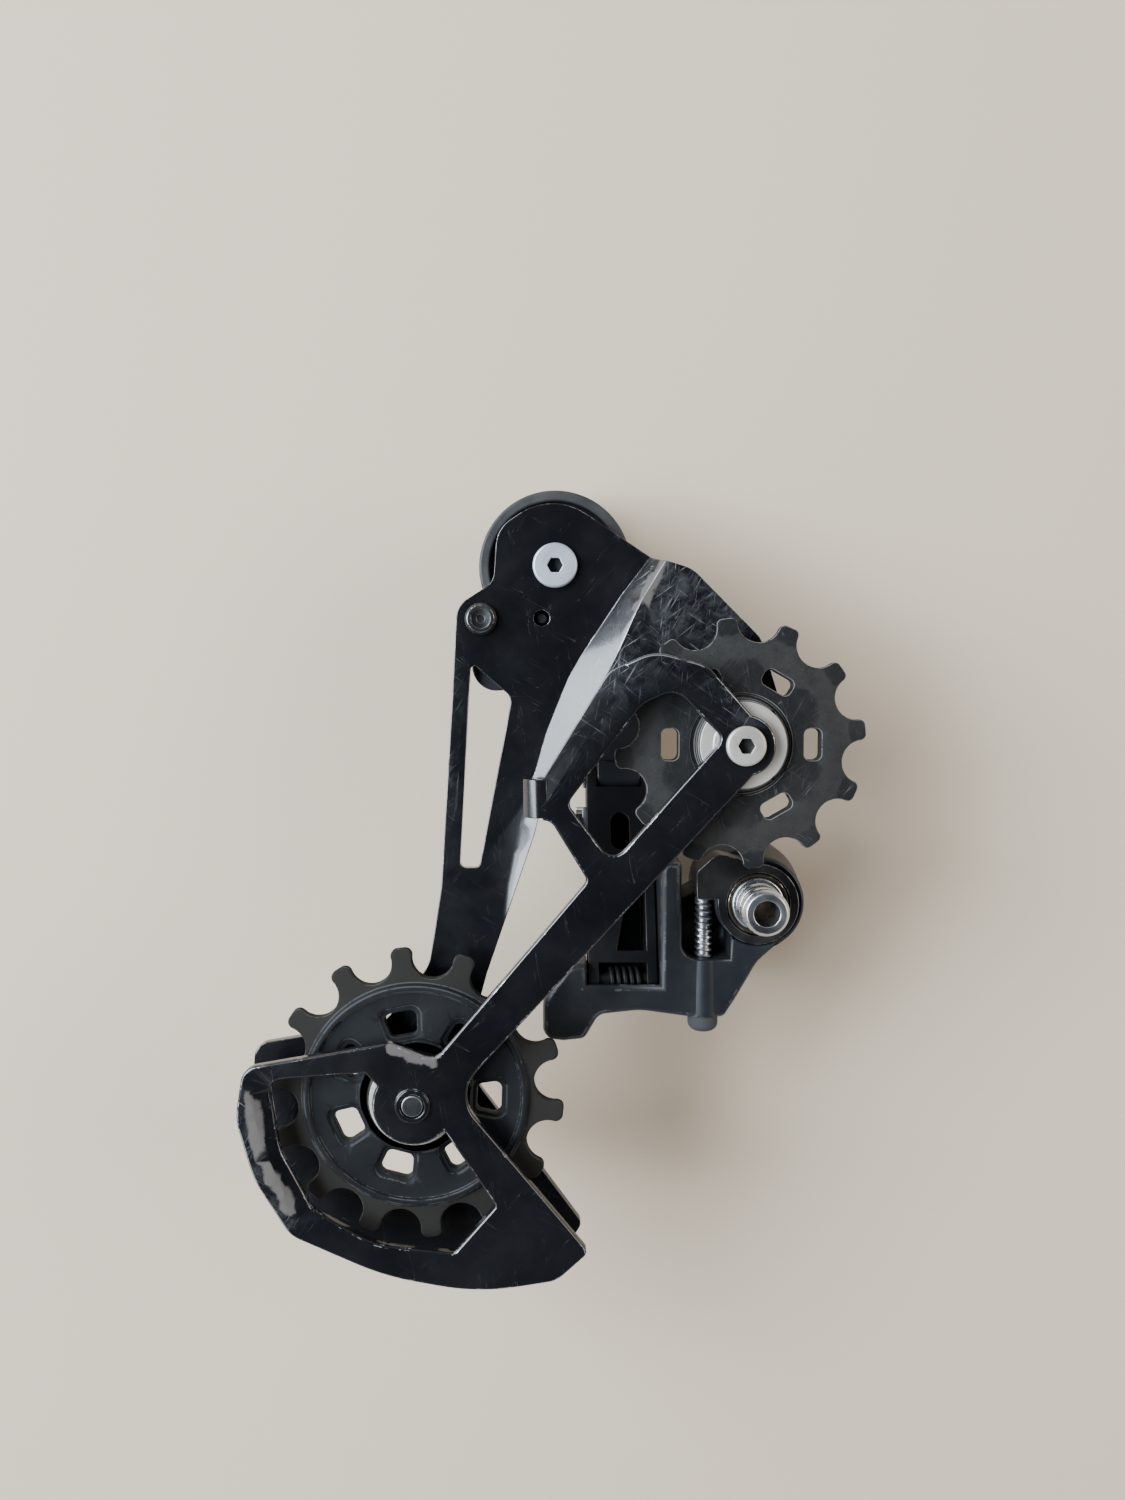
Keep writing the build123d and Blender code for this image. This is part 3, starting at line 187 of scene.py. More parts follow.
def streak_group():
    """Dense rub marks from the chain and from knocks: streaks over a cloudy haze."""
    tree, inp, out = new_group(
        "rub_streaks",
        [("Vector", "NodeSocketVector", None), ("Amount", "NodeSocketFloat", 0.0)], ["Mask"],
    )
    total = None
    for index, (turn, stretch) in enumerate((
            (-1.05, (90, 2600, 400)), (-0.62, (120, 2100, 400)), (-1.45, (130, 3000, 400)),
            (0.6, (170, 2700, 400)))):
        at = mapped(tree, inp.outputs["Vector"], turn, stretch, (index * 2.3, 0, 0))
        line = ramp(tree, noise(tree, at, 1.0, 2.0, 0.6, 0.3), 0.60, 0.74)
        gate = ramp(tree, noise(tree, mapped(tree, inp.outputs["Vector"], turn, (110, 260, 300),
                                             (0, index * 4.1, 0)), 1.0, 3.0, 0.6), 0.44, 0.66)
        line = maths(tree, "MULTIPLY", line, gate)
        total = line if total is None else maths(tree, "MAXIMUM", total, line)
    haze = ramp(tree, noise(tree, inp.outputs["Vector"], 260.0, 6.0, 0.7, 0.6), 0.40, 0.75)
    both = maths(tree, "ADD", maths(tree, "MULTIPLY", total, 0.8), maths(tree, "MULTIPLY", haze, 0.14))
    tree.links.new(maths(tree, "MULTIPLY", both, inp.outputs["Amount"], True), out.inputs["Mask"])
    return tree


SCRATCH = scratch_group()
STREAK = streak_group()
WEAR = wear_group()
DUST = dust_group()
GRAIN = grain_group()


def mix_colour(tree, factor, a, b):
    node = tree.nodes.new("ShaderNodeMix")
    node.data_type = "RGBA"
    tree.links.new(factor, node.inputs["Factor"])
    for socket, value in ((node.inputs[6], a), (node.inputs[7], b)):
        if isinstance(value, (tuple, list)):
            socket.default_value = (*value, 1.0)
        else:
            tree.links.new(value, socket)
    return node.outputs[2]


def mix_value(tree, factor, a, b):
    node = tree.nodes.new("ShaderNodeMix")
    node.data_type = "FLOAT"
    tree.links.new(factor, node.inputs["Factor"])
    for socket, value in ((node.inputs[2], a), (node.inputs[3], b)):
        if isinstance(value, (int, float)):
            socket.default_value = value
        else:
            tree.links.new(value, socket)
    return node.outputs[0]


def surface(name, base, second, rough, metal=0.0, worn=(0.42, 0.43, 0.45), worn_metal=0.85,
            worn_rough=0.38, wear=0.4, scratch=0.4, scratch_colour=None, dust=0.2,
            dust_colour=(0.30, 0.27, 0.23), grain=3200.0, bump=0.00002, coat=0.0, spread=0.10,
            brushed=None, painted_shade_below=None, bare_colour=(0.12, 0.105, 0.095), bare_rough=0.62,
            specular=0.5):
    """Material built from the shared groups. Colours are linear RGB, bump is in metres."""
    mat = bpy.data.materials.new(name)
    mat.use_nodes = True
    tree = mat.node_tree
    shader = tree.nodes["Principled BSDF"]
    where = tree.nodes.new("ShaderNodeTexCoord").outputs["Object"]

    def use(group, **values):
        node = tree.nodes.new("ShaderNodeGroup")
        node.node_tree = group
        tree.links.new(where, node.inputs["Vector"])
        for key, value in values.items():
            if isinstance(value, (int, float)):
                node.inputs[key].default_value = value
            else:
                tree.links.new(value, node.inputs[key])
        return node

    edge = tree.nodes.new("ShaderNodeAttribute")
    edge.attribute_name = "edge"
    rub = tree.nodes.new("ShaderNodeAttribute")
    rub.attribute_name = "rub"
    grains = use(GRAIN, Scale=grain)
    lined = maths(tree, "ADD", maths(tree, "MULTIPLY", rub.outputs["Fac"], 0.5), scratch)
    scratches = use(SCRATCH, Amount=lined).outputs["Mask"]
    worn_here = maths(tree, "ADD", maths(tree, "MULTIPLY", rub.outputs["Fac"], 0.7), wear)
    wears = use(WEAR, Edge=edge.outputs["Fac"], Amount=worn_here).outputs["Mask"]
    dust_and_painted_shade = use(DUST, Amount=dust).outputs["Mask"]
    rubbed = use(STREAK, Amount=rub.outputs["Fac"]).outputs["Mask"]
    bare = tree.nodes.new("ShaderNodeAttribute")
    bare.attribute_name = "bare"
    broken = maths(tree, "ADD", maths(tree, "MULTIPLY", noise(tree, where, 330.0, 5.0, 0.65), 0.6),
                   maths(tree, "MULTIPLY", noise(tree, where, 1900.0, 3.0, 0.6), 0.4))
    bares = ramp(tree, maths(tree, "MULTIPLY", bare.outputs["Fac"], maths(tree, "ADD", broken, 0.5)),
                 0.38, 0.62)
    vary = ramp(tree, grains.outputs["Vary"], 0.3, 0.7)
    colour = mix_colour(tree, vary, base, second)
    colour = mix_colour(tree, scratches, colour, scratch_colour or worn)
    colour = mix_colour(tree, rubbed, colour, tuple(0.75 * a for a in worn))
    colour = mix_colour(tree, maths(tree, "MULTIPLY", bares, 0.85), colour, bare_colour)
    colour = mix_colour(tree, wears, colour, worn)
    colour = mix_colour(tree, dust_and_painted_shade, colour, dust_colour)
    # Painted shade: below the given height on the given axis, the colour is darkened to near black and
    # the surface made dull and non-metallic. This stands in for shade in sockets and under heads. From
    # here on the dust mask also carries this painted shade.
    if painted_shade_below is not None:
        split = tree.nodes.new("ShaderNodeSeparateXYZ")
        tree.links.new(where, split.inputs["Vector"])
        painted_shade = ramp(tree, split.outputs[painted_shade_below[0]], painted_shade_below[1] * MM + 0.0002,
                    painted_shade_below[1] * MM - 0.0003)
        colour = mix_colour(tree, maths(tree, "MULTIPLY", painted_shade, 0.93), colour, (0.0095, 0.0105, 0.0125))
        dust_and_painted_shade = maths(tree, "MAXIMUM", dust_and_painted_shade, maths(tree, "MULTIPLY", painted_shade, 0.9))
    tree.links.new(colour, shader.inputs["Base Color"])
    rough_now = mix_value(tree, vary, max(0.02, rough - spread / 2), rough + spread / 2)
    rough_now = mix_value(tree, maths(tree, "MAXIMUM", wears, rubbed), rough_now, worn_rough)
    rough_now = mix_value(tree, bares, rough_now, bare_rough)
    rough_now = mix_value(tree, dust_and_painted_shade, rough_now, 0.85)
    if brushed:
        turn, stretch, amount = brushed
        lines = noise(tree, mapped(tree, where, turn, stretch), 1.0, 3.0, 0.6)
        rough_now = maths(tree, "ADD", rough_now,
                          maths(tree, "MULTIPLY", maths(tree, "SUBTRACT", lines, 0.5), amount), True)
    tree.links.new(rough_now, shader.inputs["Roughness"])
    metal_now = mix_value(tree, maths(tree, "MAXIMUM", wears, scratches), metal, max(metal, worn_metal))
    metal_now = mix_value(tree, dust_and_painted_shade, metal_now, 0.0)
    tree.links.new(metal_now, shader.inputs["Metallic"])
    height = maths(tree, "SUBTRACT", grains.outputs["Height"], maths(tree, "MULTIPLY", scratches, 0.8))
    height = maths(tree, "SUBTRACT", height, maths(tree, "MULTIPLY", wears, 0.5))
    bumps = tree.nodes.new("ShaderNodeBump")
    bumps.inputs["Strength"].default_value = 0.6
    bumps.inputs["Distance"].default_value = bump
    tree.links.new(height, bumps.inputs["Height"])
    tree.links.new(bumps.outputs["Normal"], shader.inputs["Normal"])
    shader.inputs["Specular IOR Level"].default_value = specular
    if coat:
        shader.inputs["Coat Weight"].default_value = coat
        shader.inputs["Coat Roughness"].default_value = 0.12
    return mat


cage_black = surface(
    "cage_black", (0.0030, 0.0032, 0.0045), (0.0055, 0.0056, 0.0075), 0.24, wear=0.12, scratch=0.35,
    worn=(0.42, 0.43, 0.45), scratch_colour=(0.16, 0.16, 0.17), dust=0.012, coat=0.5,
    bump=0.000008, grain=1500.0,
)
knuckle = surface(
    "knuckle_composite", (0.0080, 0.0098, 0.0135), (0.013, 0.0155, 0.020), 0.44, wear=0.15,
    worn=(0.07, 0.075, 0.085), worn_metal=0.0, worn_rough=0.5, scratch=0.25,
    scratch_colour=(0.08, 0.085, 0.095), dust=0.04, grain=4200.0, bump=0.00002,
)
ring_plastic = surface(
    "ring_plastic", (0.018, 0.019, 0.022), (0.028, 0.029, 0.032), 0.52, wear=0.2,
    worn=(0.10, 0.10, 0.105), worn_metal=0.0, worn_rough=0.6, scratch=0.3, dust=0.16,
    scratch_colour=(0.09, 0.09, 0.09), grain=3500.0, bump=0.00003,
)
link_black = surface(
    "link_black", (0.0035, 0.0038, 0.005), (0.006, 0.0065, 0.008), 0.42, wear=0.0, scratch=0.2,
    worn=(0.10, 0.105, 0.115), scratch_colour=(0.07, 0.07, 0.08), dust=0.02, specular=0.3,
)
pulley_mat = surface(
    "pulley_charcoal", (0.0070, 0.0072, 0.0078), (0.013, 0.013, 0.0135), 0.60, wear=0.45,
    worn=(0.17, 0.165, 0.155), worn_metal=0.0, worn_rough=0.8, scratch=0.6,
    bare_colour=(0.034, 0.033, 0.031), bare_rough=0.8, specular=0.22,
    scratch_colour=(0.15, 0.145, 0.14), dust=0.13, dust_colour=(0.10, 0.095, 0.085),
    grain=2600.0, bump=0.00004,
)
pulley_dusty = surface(
    "pulley_dusty", (0.0062, 0.0070, 0.0086), (0.010, 0.0110, 0.0130), 0.55, wear=0.30,
    worn=(0.060, 0.060, 0.060), worn_metal=0.0, worn_rough=0.75, scratch=0.3,
    bare_colour=(0.021, 0.0185, 0.0155), bare_rough=0.8, specular=0.22,
    scratch_colour=(0.055, 0.053, 0.050), dust=0.09, dust_colour=(0.060, 0.054, 0.046),
    grain=2600.0, bump=0.00004,
)
bright_zinc = surface(
    "bright_zinc", (0.55, 0.64, 0.71), (0.68, 0.75, 0.80), 0.42, metal=0.7, worn=(0.8, 0.8, 0.8),
    worn_metal=1.0, wear=0.2, scratch=0.25, scratch_colour=(0.35, 0.36, 0.38), dust=0.10,
    dust_colour=(0.25, 0.20, 0.15), brushed=(0.4, (3000, 500, 500), 0.2), bump=0.000008,
    # Painted shade: below z = 2.9 mm, in the hex socket and under the top face, the bolt is painted near
    # black.
    painted_shade_below=("Z", 2.9),
)
warm_steel = surface(
    "warm_steel", (0.60, 0.55, 0.49), (0.72, 0.68, 0.63), 0.42, metal=0.7, worn=(0.8, 0.78, 0.75),
    worn_metal=1.0, wear=0.2, scratch=0.30, scratch_colour=(0.35, 0.32, 0.28), dust=0.16,
    dust_colour=(0.26, 0.17, 0.10), brushed=(0.9, (3000, 500, 500), 0.2), bump=0.000008,
    # Painted shade: below z = 19.0 mm, under the top face, the bolt is painted near black.
    painted_shade_below=("Z", 19.0),
)
dull_zinc = surface(
    "dull_zinc", (0.36, 0.37, 0.38), (0.50, 0.51, 0.52), 0.40, metal=1.0, worn=(0.7, 0.7, 0.7),
    worn_metal=1.0, wear=0.3, scratch=0.25, scratch_colour=(0.2, 0.2, 0.2), dust=0.22,
    dust_colour=(0.14, 0.12, 0.10), bump=0.00001,
)
screw_zinc = surface(
    "screw_zinc", (0.46, 0.48, 0.50), (0.62, 0.63, 0.64), 0.34, metal=1.0, worn=(0.75, 0.75, 0.75),
    worn_metal=1.0, wear=0.3, scratch=0.2, scratch_colour=(0.2, 0.2, 0.2), dust=0.14,
    # Painted shade: past y = -25.5 mm the screw is painted near black.
    dust_colour=(0.10, 0.09, 0.08), bump=0.00001, painted_shade_below=("Y", -25.5),
)
dark_steel = surface(
    "dark_steel", (0.05, 0.052, 0.056), (0.085, 0.087, 0.09), 0.38, metal=0.9, wear=0.5,
    worn=(0.45, 0.45, 0.45), worn_metal=1.0, scratch=0.2, scratch_colour=(0.2, 0.2, 0.2),
    dust=0.25, dust_colour=(0.05, 0.045, 0.04), bump=0.00001,
)
shield_steel = surface(
    "shield_steel", (0.56, 0.52, 0.47), (0.68, 0.64, 0.59), 0.48, metal=0.6, worn=(0.7, 0.68, 0.65),
    worn_metal=1.0, wear=0.2, scratch=0.35, scratch_colour=(0.30, 0.27, 0.24), dust=0.20,
    dust_colour=(0.24, 0.17, 0.11), bump=0.00001,
)
spring_wire = surface(
    "spring_wire", (0.20, 0.20, 0.21), (0.30, 0.30, 0.31), 0.35, metal=1.0, worn=(0.5, 0.5, 0.5),
    worn_metal=1.0, wear=0.2, scratch=0.2, dust=0.15, bump=0.00001,
)
black_steel = surface(
    "black_steel", (0.010, 0.010, 0.011), (0.018, 0.018, 0.019), 0.34, metal=0.3, wear=0.45,
    worn=(0.35, 0.35, 0.36), worn_metal=1.0, scratch=0.3, scratch_colour=(0.15, 0.15, 0.15),
    dust=0.12, bump=0.00001,
)
wound_black = surface(
    "wound_black", (0.006, 0.006, 0.0065), (0.011, 0.011, 0.0115), 0.50, wear=0.0, scratch=0.2,
    worn=(0.08, 0.08, 0.08), worn_metal=0.5, scratch_colour=(0.05, 0.05, 0.05), dust=0.05,
    dust_colour=(0.03, 0.028, 0.025), specular=0.3, bump=0.00001,
)
bronze = surface(
    "bronze", (0.045, 0.036, 0.028), (0.08, 0.06, 0.045), 0.50, metal=0.9, worn=(0.65, 0.55, 0.42),
    worn_metal=1.0, wear=0.1, scratch=0.2, scratch_colour=(0.3, 0.25, 0.18), dust=0.35,
    dust_colour=(0.03, 0.026, 0.022), bump=0.00001,
)
rubber = surface(
    "gasket_rubber", (0.010, 0.010, 0.010), (0.016, 0.016, 0.016), 0.75, wear=0.0, scratch=0.0,
    worn=(0.05, 0.05, 0.05), worn_metal=0.0, dust=0.15, bump=0.00002,
)
ceramic = surface(
    "bushing_ceramic", (0.55, 0.54, 0.50), (0.66, 0.64, 0.60), 0.30, wear=0.0, scratch=0.1,
    worn=(0.7, 0.7, 0.7), worn_metal=0.0, scratch_colour=(0.4, 0.4, 0.4), dust=0.1, bump=0.000004,
)
bolt_steel = surface(
    "bolt_steel", (0.50, 0.51, 0.53), (0.64, 0.65, 0.67), 0.28, metal=1.0, worn=(0.85, 0.85, 0.85),
    worn_metal=1.0, wear=0.4, scratch=0.2, scratch_colour=(0.3, 0.3, 0.3), dust=0.12,
    dust_colour=(0.10, 0.08, 0.07), bump=0.000008,
)


# ------------------------------------------------------------------ finished copies
def sharp_edges(bm, degrees_min, outward_only):
    """Edges between two faces that turn by more than the limit."""
    limit = math.radians(degrees_min)
    return [e for e in bm.edges if len(e.link_faces) == 2 and e.calc_face_angle(0.0) > limit
            and (e.is_convex or not outward_only)]


def merged(node):
    """bmesh of a CAD node with its loose triangles joined and flat areas dissolved."""
    bm = bmesh.new()
    bm.from_mesh(NODES[node].data)
    bmesh.ops.remove_doubles(bm, verts=bm.verts, dist=2e-6)
    bmesh.ops.dissolve_limit(bm, angle_limit=math.radians(0.4), verts=bm.verts, edges=bm.edges,
                             use_dissolve_boundaries=False)
    return bm


def round_edges(bm, width, degrees_min, outward_only):
    """Bevels sharp edges and returns points along them for the "edge" wear mask."""
    edges = sharp_edges(bm, degrees_min, outward_only)
    first = BVHTree.FromBMesh(bm)
    samples = []
    for e in edges:
        a, b = e.verts[0].co.copy(), e.verts[1].co.copy()
        steps = max(1, int((b - a).length / 0.0003))
        samples.extend(a.lerp(b, i / steps) for i in range(steps + 1))
    if edges:
        bmesh.ops.bevel(bm, geom=edges, offset=width, offset_type="OFFSET", segments=2,
                        profile=0.5, affect="EDGES", clamp_overlap=False, loop_slide=True)
    bmesh.ops.triangulate(bm, faces=bm.faces, quad_method="BEAUTY", ngon_method="BEAUTY")
    if first:
        for v in bm.verts:
            near = first.find_nearest(v.co)
            if near[0] is not None and near[3] > 0.75 * width:
                v.co = near[0]
    return samples


def to_object(bm, name, material, samples, width):
    me = bpy.data.meshes.new(name)
    bm.to_mesh(me)
    bm.free()
    me.shade_smooth()
    me.set_sharp_from_angle(angle=SMOOTH_BELOW)
    mask = me.attributes.new("edge", "FLOAT", "POINT")
    if samples:
        tree = KDTree(len(samples))
        for i, co in enumerate(samples):
            tree.insert(co, i)
        tree.balance()
        for v in me.vertices:
            distance = tree.find(v.co)[2]
            mask.data[v.index].value = max(0.0, min(1.0, 1.5 - 1.6 * distance / width))
    me.materials.clear()
    me.materials.append(material)
    ob = bpy.data.objects.new(name, me)
    bpy.context.scene.collection.objects.link(ob)
    normals = ob.modifiers.new("weighted", "WEIGHTED_NORMAL")
    normals.keep_sharp = True
    return ob


def place(ob, node):
    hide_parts(node)
    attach(ob, BODY[node])
    return ob


def grid_cuts(bm, across, upward):
    """Cuts the mesh at planes of constant X and Y (mm), so that a mask has points to sit on."""
    for x in across:
        slice_across(bm, 0, x)
    for y in upward:
        slice_across(bm, 1, y)
    bmesh.ops.triangulate(bm, faces=bm.faces, quad_method="BEAUTY", ngon_method="BEAUTY")


def finish_node(node, material, width_mm=0.18, shape=None, degrees_min=28.0, outward_only=False,
                cuts=None):
    """Finished copy of a CAD node: rounded edges, wear mask and material."""
    bm = merged(node)
    if shape:
        shape(bm)
    width = width_mm * MM
    samples = round_edges(bm, width, degrees_min, outward_only)
    if cuts:
        grid_cuts(bm, *cuts)
    return place(to_object(bm, node + "_finished", material, samples, width), node)


def slice_at(bm, point, normal):
    """Cuts every face that the plane crosses, without removing anything."""
    geom = bm.verts[:] + bm.edges[:] + bm.faces[:]
    bmesh.ops.bisect_plane(bm, geom=geom, plane_co=point, plane_no=normal, dist=1e-7)


def slice_across(bm, axis_index, height):
    """Cuts the mesh square to one axis at a height in mm."""
    point, normal = Vector((0, 0, 0)), Vector((0, 0, 0))
    point[axis_index] = height * MM
    normal[axis_index] = 1
    slice_at(bm, point, normal)


def press_slope(bm, a, b, slope, low, high, top_z, inside):
    """Slopes the top face down on the right of the line a-b (mm), fading out at both ends."""
    a, b = Vector((*a, 0)) * MM, Vector((*b, 0)) * MM
    along = (b - a).normalized()
    normal = Vector((along.y, -along.x, 0))
    slice_at(bm, a, normal)
    for height in range(low, high, 3):
        slice_across(bm, 1, height)
    for v in bm.verts:
        reach = (v.co - a).dot(normal)
        if reach > 1e-7 and v.co.z > top_z * MM and inside(v.co / MM):
            ends = min((v.co.y / MM - low) / 6, (high - v.co.y / MM) / 4)
            fade = max(0.0, min(1.0, ends))
            v.co.z -= reach * slope * fade


def inner_shape(bm):
    press_slope(bm, (-99.0, -63.5), (-107.8, -38.0), 0.42, -63, -33, 17.2,
                lambda c: c.x < -93.5 and c.z > 17.2)


finish_node("inner_cage_plate", cage_black, 0.2, inner_shape, 14.0,
            cuts=((-107, -104, -101, -98, -80, -77.5, -75, -72.5, -70, -67.5),
                  (-33, -30.5, -28.5, -27)))
finish_node("outer_cage_plate", cage_black, 0.2,
            cuts=((-32, -28, -24, -19, -14, -9, -4), (32, 39, 46, 52, 57, 62, 67, 71)))
finish_node("upper_pulley", pulley_mat, 0.3)
finish_node("lower_pulley", pulley_dusty, 0.3)
finish_node("b_knuckle", knuckle, 0.6, outward_only=True)
ROUNDED = [
    ("p_knuckle", knuckle, 0.45), ("p_ring", ring_plastic, 0.18), ("clutch_cover", ring_plastic, 0.25),
    ("inner_link", link_black, 0.25), ("outer_link", link_black, 0.25),
    ("b_stop_plate", black_steel, 0.22), ("cable_washer", dull_zinc, 0.12),
    ("cable_anchor_bolt", black_steel, 0.12), ("cage_pivot_bolt", bright_zinc, 0.14),
    ("upper_pulley_bolt", warm_steel, 0.14), ("stop_pin", black_steel, 0.14),
    ("b_bushing", bronze, 0.12), ("hanger_washer", dull_zinc, 0.12),
    ("upper_shield_inner", shield_steel, 0.15), ("upper_shield_outer", shield_steel, 0.15),
    ("lower_shield_inner", shield_steel, 0.15), ("lower_shield_outer", shield_steel, 0.15),
    ("clutch_cover_screws", black_steel, 0.12), ("p_link_pins", dull_zinc, 0.12),
]
for node, material, edge_width in ROUNDED:
    finish_node(node, material, edge_width)


# ------------------------------------------------------------------ threads
def thread_tree():
    """Geometry nodes: a helical ridge of a triangular profile along +Z."""
    tree = bpy.data.node_groups.new("screw_thread", "GeometryNodeTree")
    face = tree.interface
    face.new_socket(name="Geometry", in_out="OUTPUT", socket_type="NodeSocketGeometry")
    for label, value in (("Turns", 8.0), ("Radius", 0.005), ("Height", 0.008), ("Ridge", 0.0005)):
        item = face.new_socket(name=label, in_out="INPUT", socket_type="NodeSocketFloat")
        item.default_value = value
    face.new_socket(name="Material", in_out="INPUT", socket_type="NodeSocketMaterial")
    inp, out = tree.nodes.new("NodeGroupInput"), tree.nodes.new("NodeGroupOutput")
    spiral = tree.nodes.new("GeometryNodeCurveSpiral")
    spiral.inputs["Resolution"].default_value = 40
    profile = tree.nodes.new("GeometryNodeCurvePrimitiveCircle")
    profile.inputs["Resolution"].default_value = 6
    sweep = tree.nodes.new("GeometryNodeCurveToMesh")
    sweep.inputs["Fill Caps"].default_value = True
    real = tree.nodes.new("GeometryNodeRealizeInstances")
    paint = tree.nodes.new("GeometryNodeSetMaterial")
    link = tree.links.new
    link(inp.outputs["Turns"], spiral.inputs["Rotations"])
    link(inp.outputs["Radius"], spiral.inputs["Start Radius"])
    link(inp.outputs["Radius"], spiral.inputs["End Radius"])
    link(inp.outputs["Height"], spiral.inputs["Height"])
    link(inp.outputs["Ridge"], profile.inputs["Radius"])
    link(spiral.outputs["Curve"], sweep.inputs["Curve"])
    link(profile.outputs["Curve"], sweep.inputs["Profile Curve"])
    link(sweep.outputs["Mesh"], real.inputs["Geometry"])
    link(real.outputs["Geometry"], paint.inputs["Geometry"])
    link(inp.outputs["Material"], paint.inputs["Material"])
    link(paint.outputs["Geometry"], out.inputs["Geometry"])
    return tree


THREAD = thread_tree()


def thread(name, radius, pitch, length, ridge, material, matrix, body):
    """Thread ridge of the given size in mm, as a plain mesh placed by matrix."""
    holder = bpy.data.objects.new(name + "_holder", bpy.data.meshes.new(name + "_holder"))
    bpy.context.scene.collection.objects.link(holder)
    mod = holder.modifiers.new("thread", "NODES")
    mod.node_group = THREAD
    ids = {i.name: i.identifier for i in THREAD.interface.items_tree if i.in_out == "INPUT"}
    mod[ids["Turns"]] = length / pitch
    mod[ids["Radius"]] = (radius - ridge) * MM
    mod[ids["Height"]] = length * MM
    mod[ids["Ridge"]] = ridge * MM
    mod[ids["Material"]] = material
    bpy.context.view_layer.update()
    shown = holder.evaluated_get(bpy.context.evaluated_depsgraph_get())
    me = bpy.data.meshes.new_from_object(shown)
    bpy.data.objects.remove(holder)
    me.transform(matrix)
    me.shade_smooth()
    me.set_sharp_from_angle(angle=THREAD_SMOOTH_BELOW)
    ob = bpy.data.objects.new(name, me)
    bpy.context.scene.collection.objects.link(ob)
    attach(ob, body)
    return ob


RUN_OUT = 0.15


def slim(axis_point, axis_index, radius, low, high, depth):
    """Shape function: draws a shank in to the thread root between two heights (mm)."""
    others = [i for i in range(3) if i != axis_index]

    def shape(bm):
        for height in (low, high, low + RUN_OUT, high - RUN_OUT):
            slice_across(bm, axis_index, height)
        for v in bm.verts:
            if low * MM + 1e-6 < v.co[axis_index] < high * MM - 1e-6:
                d = [v.co[i] - axis_point[i] * MM for i in others]
                r = math.hypot(*d)
                if r > (radius - 0.3) * MM:
                    for i, part in zip(others, d):
                        v.co[i] = axis_point[i] * MM + part * (radius - depth) * MM / r
    return shape


def turned(matrix_rows):
    return Matrix(matrix_rows).to_4x4()


finish_node("hanger_bolt", bolt_steel, 0.15, slim((0, 0, 0), 2, 5.0, 1.3, 8.8, 0.62))
thread("hanger_thread", 5.0, 1.0, 7.2, 0.42, bolt_steel, Matrix.Translation((0, 0, 1.45 * MM)),
       "hanger")

SCREW = (-11.6, 0, -4.6)
finish_node("b_adjust_screw", screw_zinc, 0.12, slim(SCREW, 1, 2.0, -24.5, 0.4, 0.55))
to_y = turned(((1, 0, 0), (0, 0, 1), (0, -1, 0)))
thread("b_screw_thread", 2.0, 1.45, 24.4, 0.40, screw_zinc,
       Matrix.Translation((SCREW[0] * MM, -24.3 * MM, SCREW[2] * MM)) @ to_y,
       "b_adjust")

finish_node("lower_pulley_bolt", dark_steel, 0.14)


# ------------------------------------------------------------------ carried-over nodes
CARRIED = {
    "b_link_pins": wound_black, "return_spring": wound_black, "limit_screw_high": dull_zinc,
    "limit_screw_low": dull_zinc, "p_bushing": bronze, "p_pin_clips": spring_wire,
    "roller_clutch": dull_zinc, "friction_band": spring_wire, "clutch_gasket": rubber,
    "cage_axle": dull_zinc, "axle_clip": spring_wire, "cage_spring": dark_steel,
    "upper_bushing": ceramic, "lower_bushing": ceramic,
}
for node, material in CARRIED.items():
    NODES[node].data.materials.clear()
    NODES[node].data.materials.append(material)


# ------------------------------------------------------------------ rub marks
def spots_along(a, b, count, z, radius, strength):
    return [(a[0] + (b[0] - a[0]) * i / (count - 1), a[1] + (b[1] - a[1]) * i / (count - 1),
             z, radius, strength) for i in range(count)]


def mark(name, kind, spots, ring=None):
    """Writes a mask: strength near each spot (x, y, z, radius, strength in mm), fading out.

    ring = (x, y, inner radius, outer radius, strength) marks everything between two radii.
    """
    me = bpy.data.objects[name].data
    mask = me.attributes.get(kind) or me.attributes.new(kind, "FLOAT", "POINT")
    for v in me.vertices:
        best = 0.0
        for x, y, z, radius, strength in spots:
            d = (v.co - Vector((x, y, z)) * MM).length / (radius * MM)
            best = max(best, strength * max(0.0, min(1.0, 1.6 * (1 - d))))
        if ring:
            reach = math.hypot(v.co.x / MM - ring[0], v.co.y / MM - ring[1])
            inside = min(1.0, max(0.0, reach - ring[2] + 0.5)) * min(1.0, max(0.0, ring[3] - reach))
            best = max(best, ring[4] * inside)
        mask.data[v.index].value = best


# ------------------------------------------------------------------ stage, light, camera
FLOOR_Z = -0.0392
floor_mesh = bpy.data.meshes.new("floor")
floor_mesh.from_pydata(
    [(-3, -3, FLOOR_Z), (3, -3, FLOOR_Z), (3, 3, FLOOR_Z), (-3, 3, FLOOR_Z)], [], [(0, 1, 2, 3)])
floor = bpy.data.objects.new("floor", floor_mesh)
bpy.context.scene.collection.objects.link(floor)
floor_mat = bpy.data.materials.new("floor_plain")
floor_mat.use_nodes = True
floor_shader = floor_mat.node_tree.nodes["Principled BSDF"]
floor_shader.inputs["Base Color"].default_value = (0.74, 0.60, 0.445, 1)
floor_shader.inputs["Roughness"].default_value = 0.75
floor_mesh.materials.append(floor_mat)


def area_light(name, place_at, target, size, power, colour):
    data = bpy.data.lights.new(name, "AREA")
    data.shape = "RECTANGLE"
    data.size, data.size_y = size
    data.energy = power
    data.color = colour
    ob = bpy.data.objects.new(name, data)
    ob.location = place_at
    ob.rotation_euler = (Vector(target) - Vector(place_at)).to_track_quat("-Z", "Y").to_euler()
    bpy.context.scene.collection.objects.link(ob)
    return ob


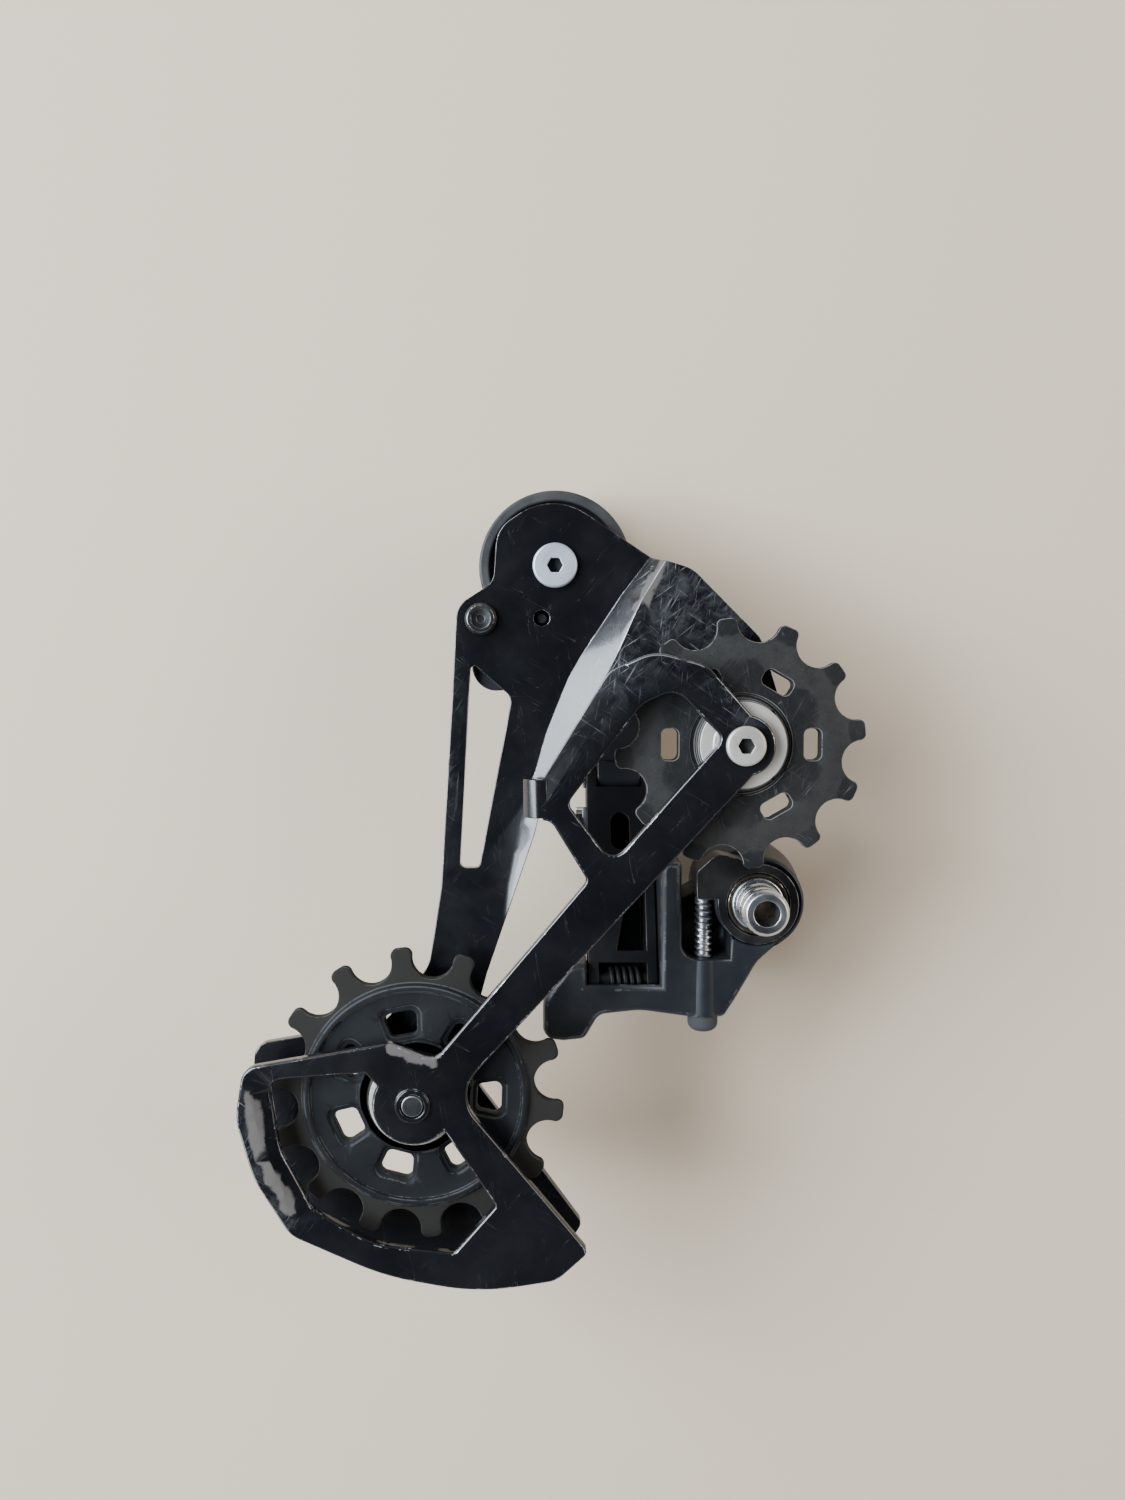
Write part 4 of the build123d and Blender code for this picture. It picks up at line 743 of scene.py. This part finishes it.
CENTRE = (-0.045, 0.01, 0.0)
area_light("window", (-1.13, 0.42, 0.86), CENTRE, (1.15, 0.75), 50, (0.80, 0.90, 1.0))
area_light("window_low", (-0.86, -0.13, 1.18), CENTRE, (0.5, 0.4), 9.0, (0.80, 0.90, 1.0))
area_light("room_right", (1.15, 0.25, 0.75), CENTRE, (0.9, 0.6), 9.0, (1.0, 0.94, 0.87))

world = bpy.data.worlds.new("studio")
bpy.context.scene.world = world
world.use_nodes = True
sky = world.node_tree
back = sky.nodes["Background"]
view_dir = sky.nodes.new("ShaderNodeTexCoord").outputs["Generated"]
parts_of = sky.nodes.new("ShaderNodeSeparateXYZ")
sky.links.new(view_dir, parts_of.inputs["Vector"])
height_now = ramp(sky, parts_of.outputs["Z"], 0.95, 0.30, 0.035, 0.62)
side_now = ramp(sky, parts_of.outputs["X"], -0.9, 0.9, 1.25, 0.75)
sky.links.new(maths(sky, "MULTIPLY", height_now, side_now), back.inputs["Strength"])
back.inputs["Color"].default_value = (0.86, 0.92, 1.0, 1)

camera_data = bpy.data.cameras.new("camera")
camera_data.lens = 24.96
camera_data.sensor_width = 36.0
camera_data.clip_start = 0.005
camera = bpy.data.objects.new("camera", camera_data)
camera.location = (-0.04339, 0.04819, 0.22760)
camera.rotation_euler = (math.radians(-3.5), 0, 0)
bpy.context.scene.collection.objects.link(camera)
bpy.context.scene.camera = camera

OUTER, INNER = "outer_cage_plate_finished", "inner_cage_plate_finished"
mark(OUTER, "rub",
     [(-19, 66, 6, 12, 1.0), (-11, 60, 6, 11, 1.0), (-6, 52, 6, 10, 0.8)]
     + spots_along((-23, 74), (-33, 52), 8, 6, 6, 1.0)
     + spots_along((-33, 52), (-46, 28), 6, 6, 4, 0.6)
     + spots_along((-66, 60), (-69, 10), 14, 3, 2.5, 0.7)
     + spots_along((-109.5, -33), (-100, -27.5), 6, 2, 3, 1.0))
mark(OUTER, "bare", spots_along((-23, 74), (-27, 65), 4, 6, 2.6, 0.9))
mark(INNER, "rub",
     [(-73, -27.5, 18, 3, 0.5), (-64, -22, 18, 3, 0.4)]
     + spots_along((-109.0, -38), (-106.2, -52), 8, 18, 2.6, 0.9)
     + spots_along((-106.2, -52), (-100.4, -63), 8, 18, 2.6, 0.9)
     + spots_along((-35, 50), (-24, 54), 6, 18, 4, 0.8)
     + spots_along((-24, 54), (-5, 42), 9, 18, 4, 0.8))
mark(INNER, "bare",
     spots_along((-108.2, -37), (-105.6, -50), 9, 18, 2.0, 1.0)
     + spots_along((-105.6, -50), (-99.6, -61), 9, 18, 2.0, 1.0)
     + spots_along((-78.6, -26.2), (-70.5, -29.1), 9, 18, 1.9, 0.9)
     + spots_along((-69.0, -27.6), (-61.5, -18.6), 8, 18, 1.1, 0.8))
mark("upper_pulley_finished", "rub", [(-6, 36, 13, 28, 0.5)])
mark("upper_pulley_finished", "bare", [], (*UPPER, 15.5, 24.0, 0.55))
mark("lower_pulley_finished", "rub", spots_along((-97, -20), (-52, -14), 12, 11, 9, 0.3))
mark("lower_pulley_finished", "bare", [], (*LOWER, 24.2, 33.0, 0.8))
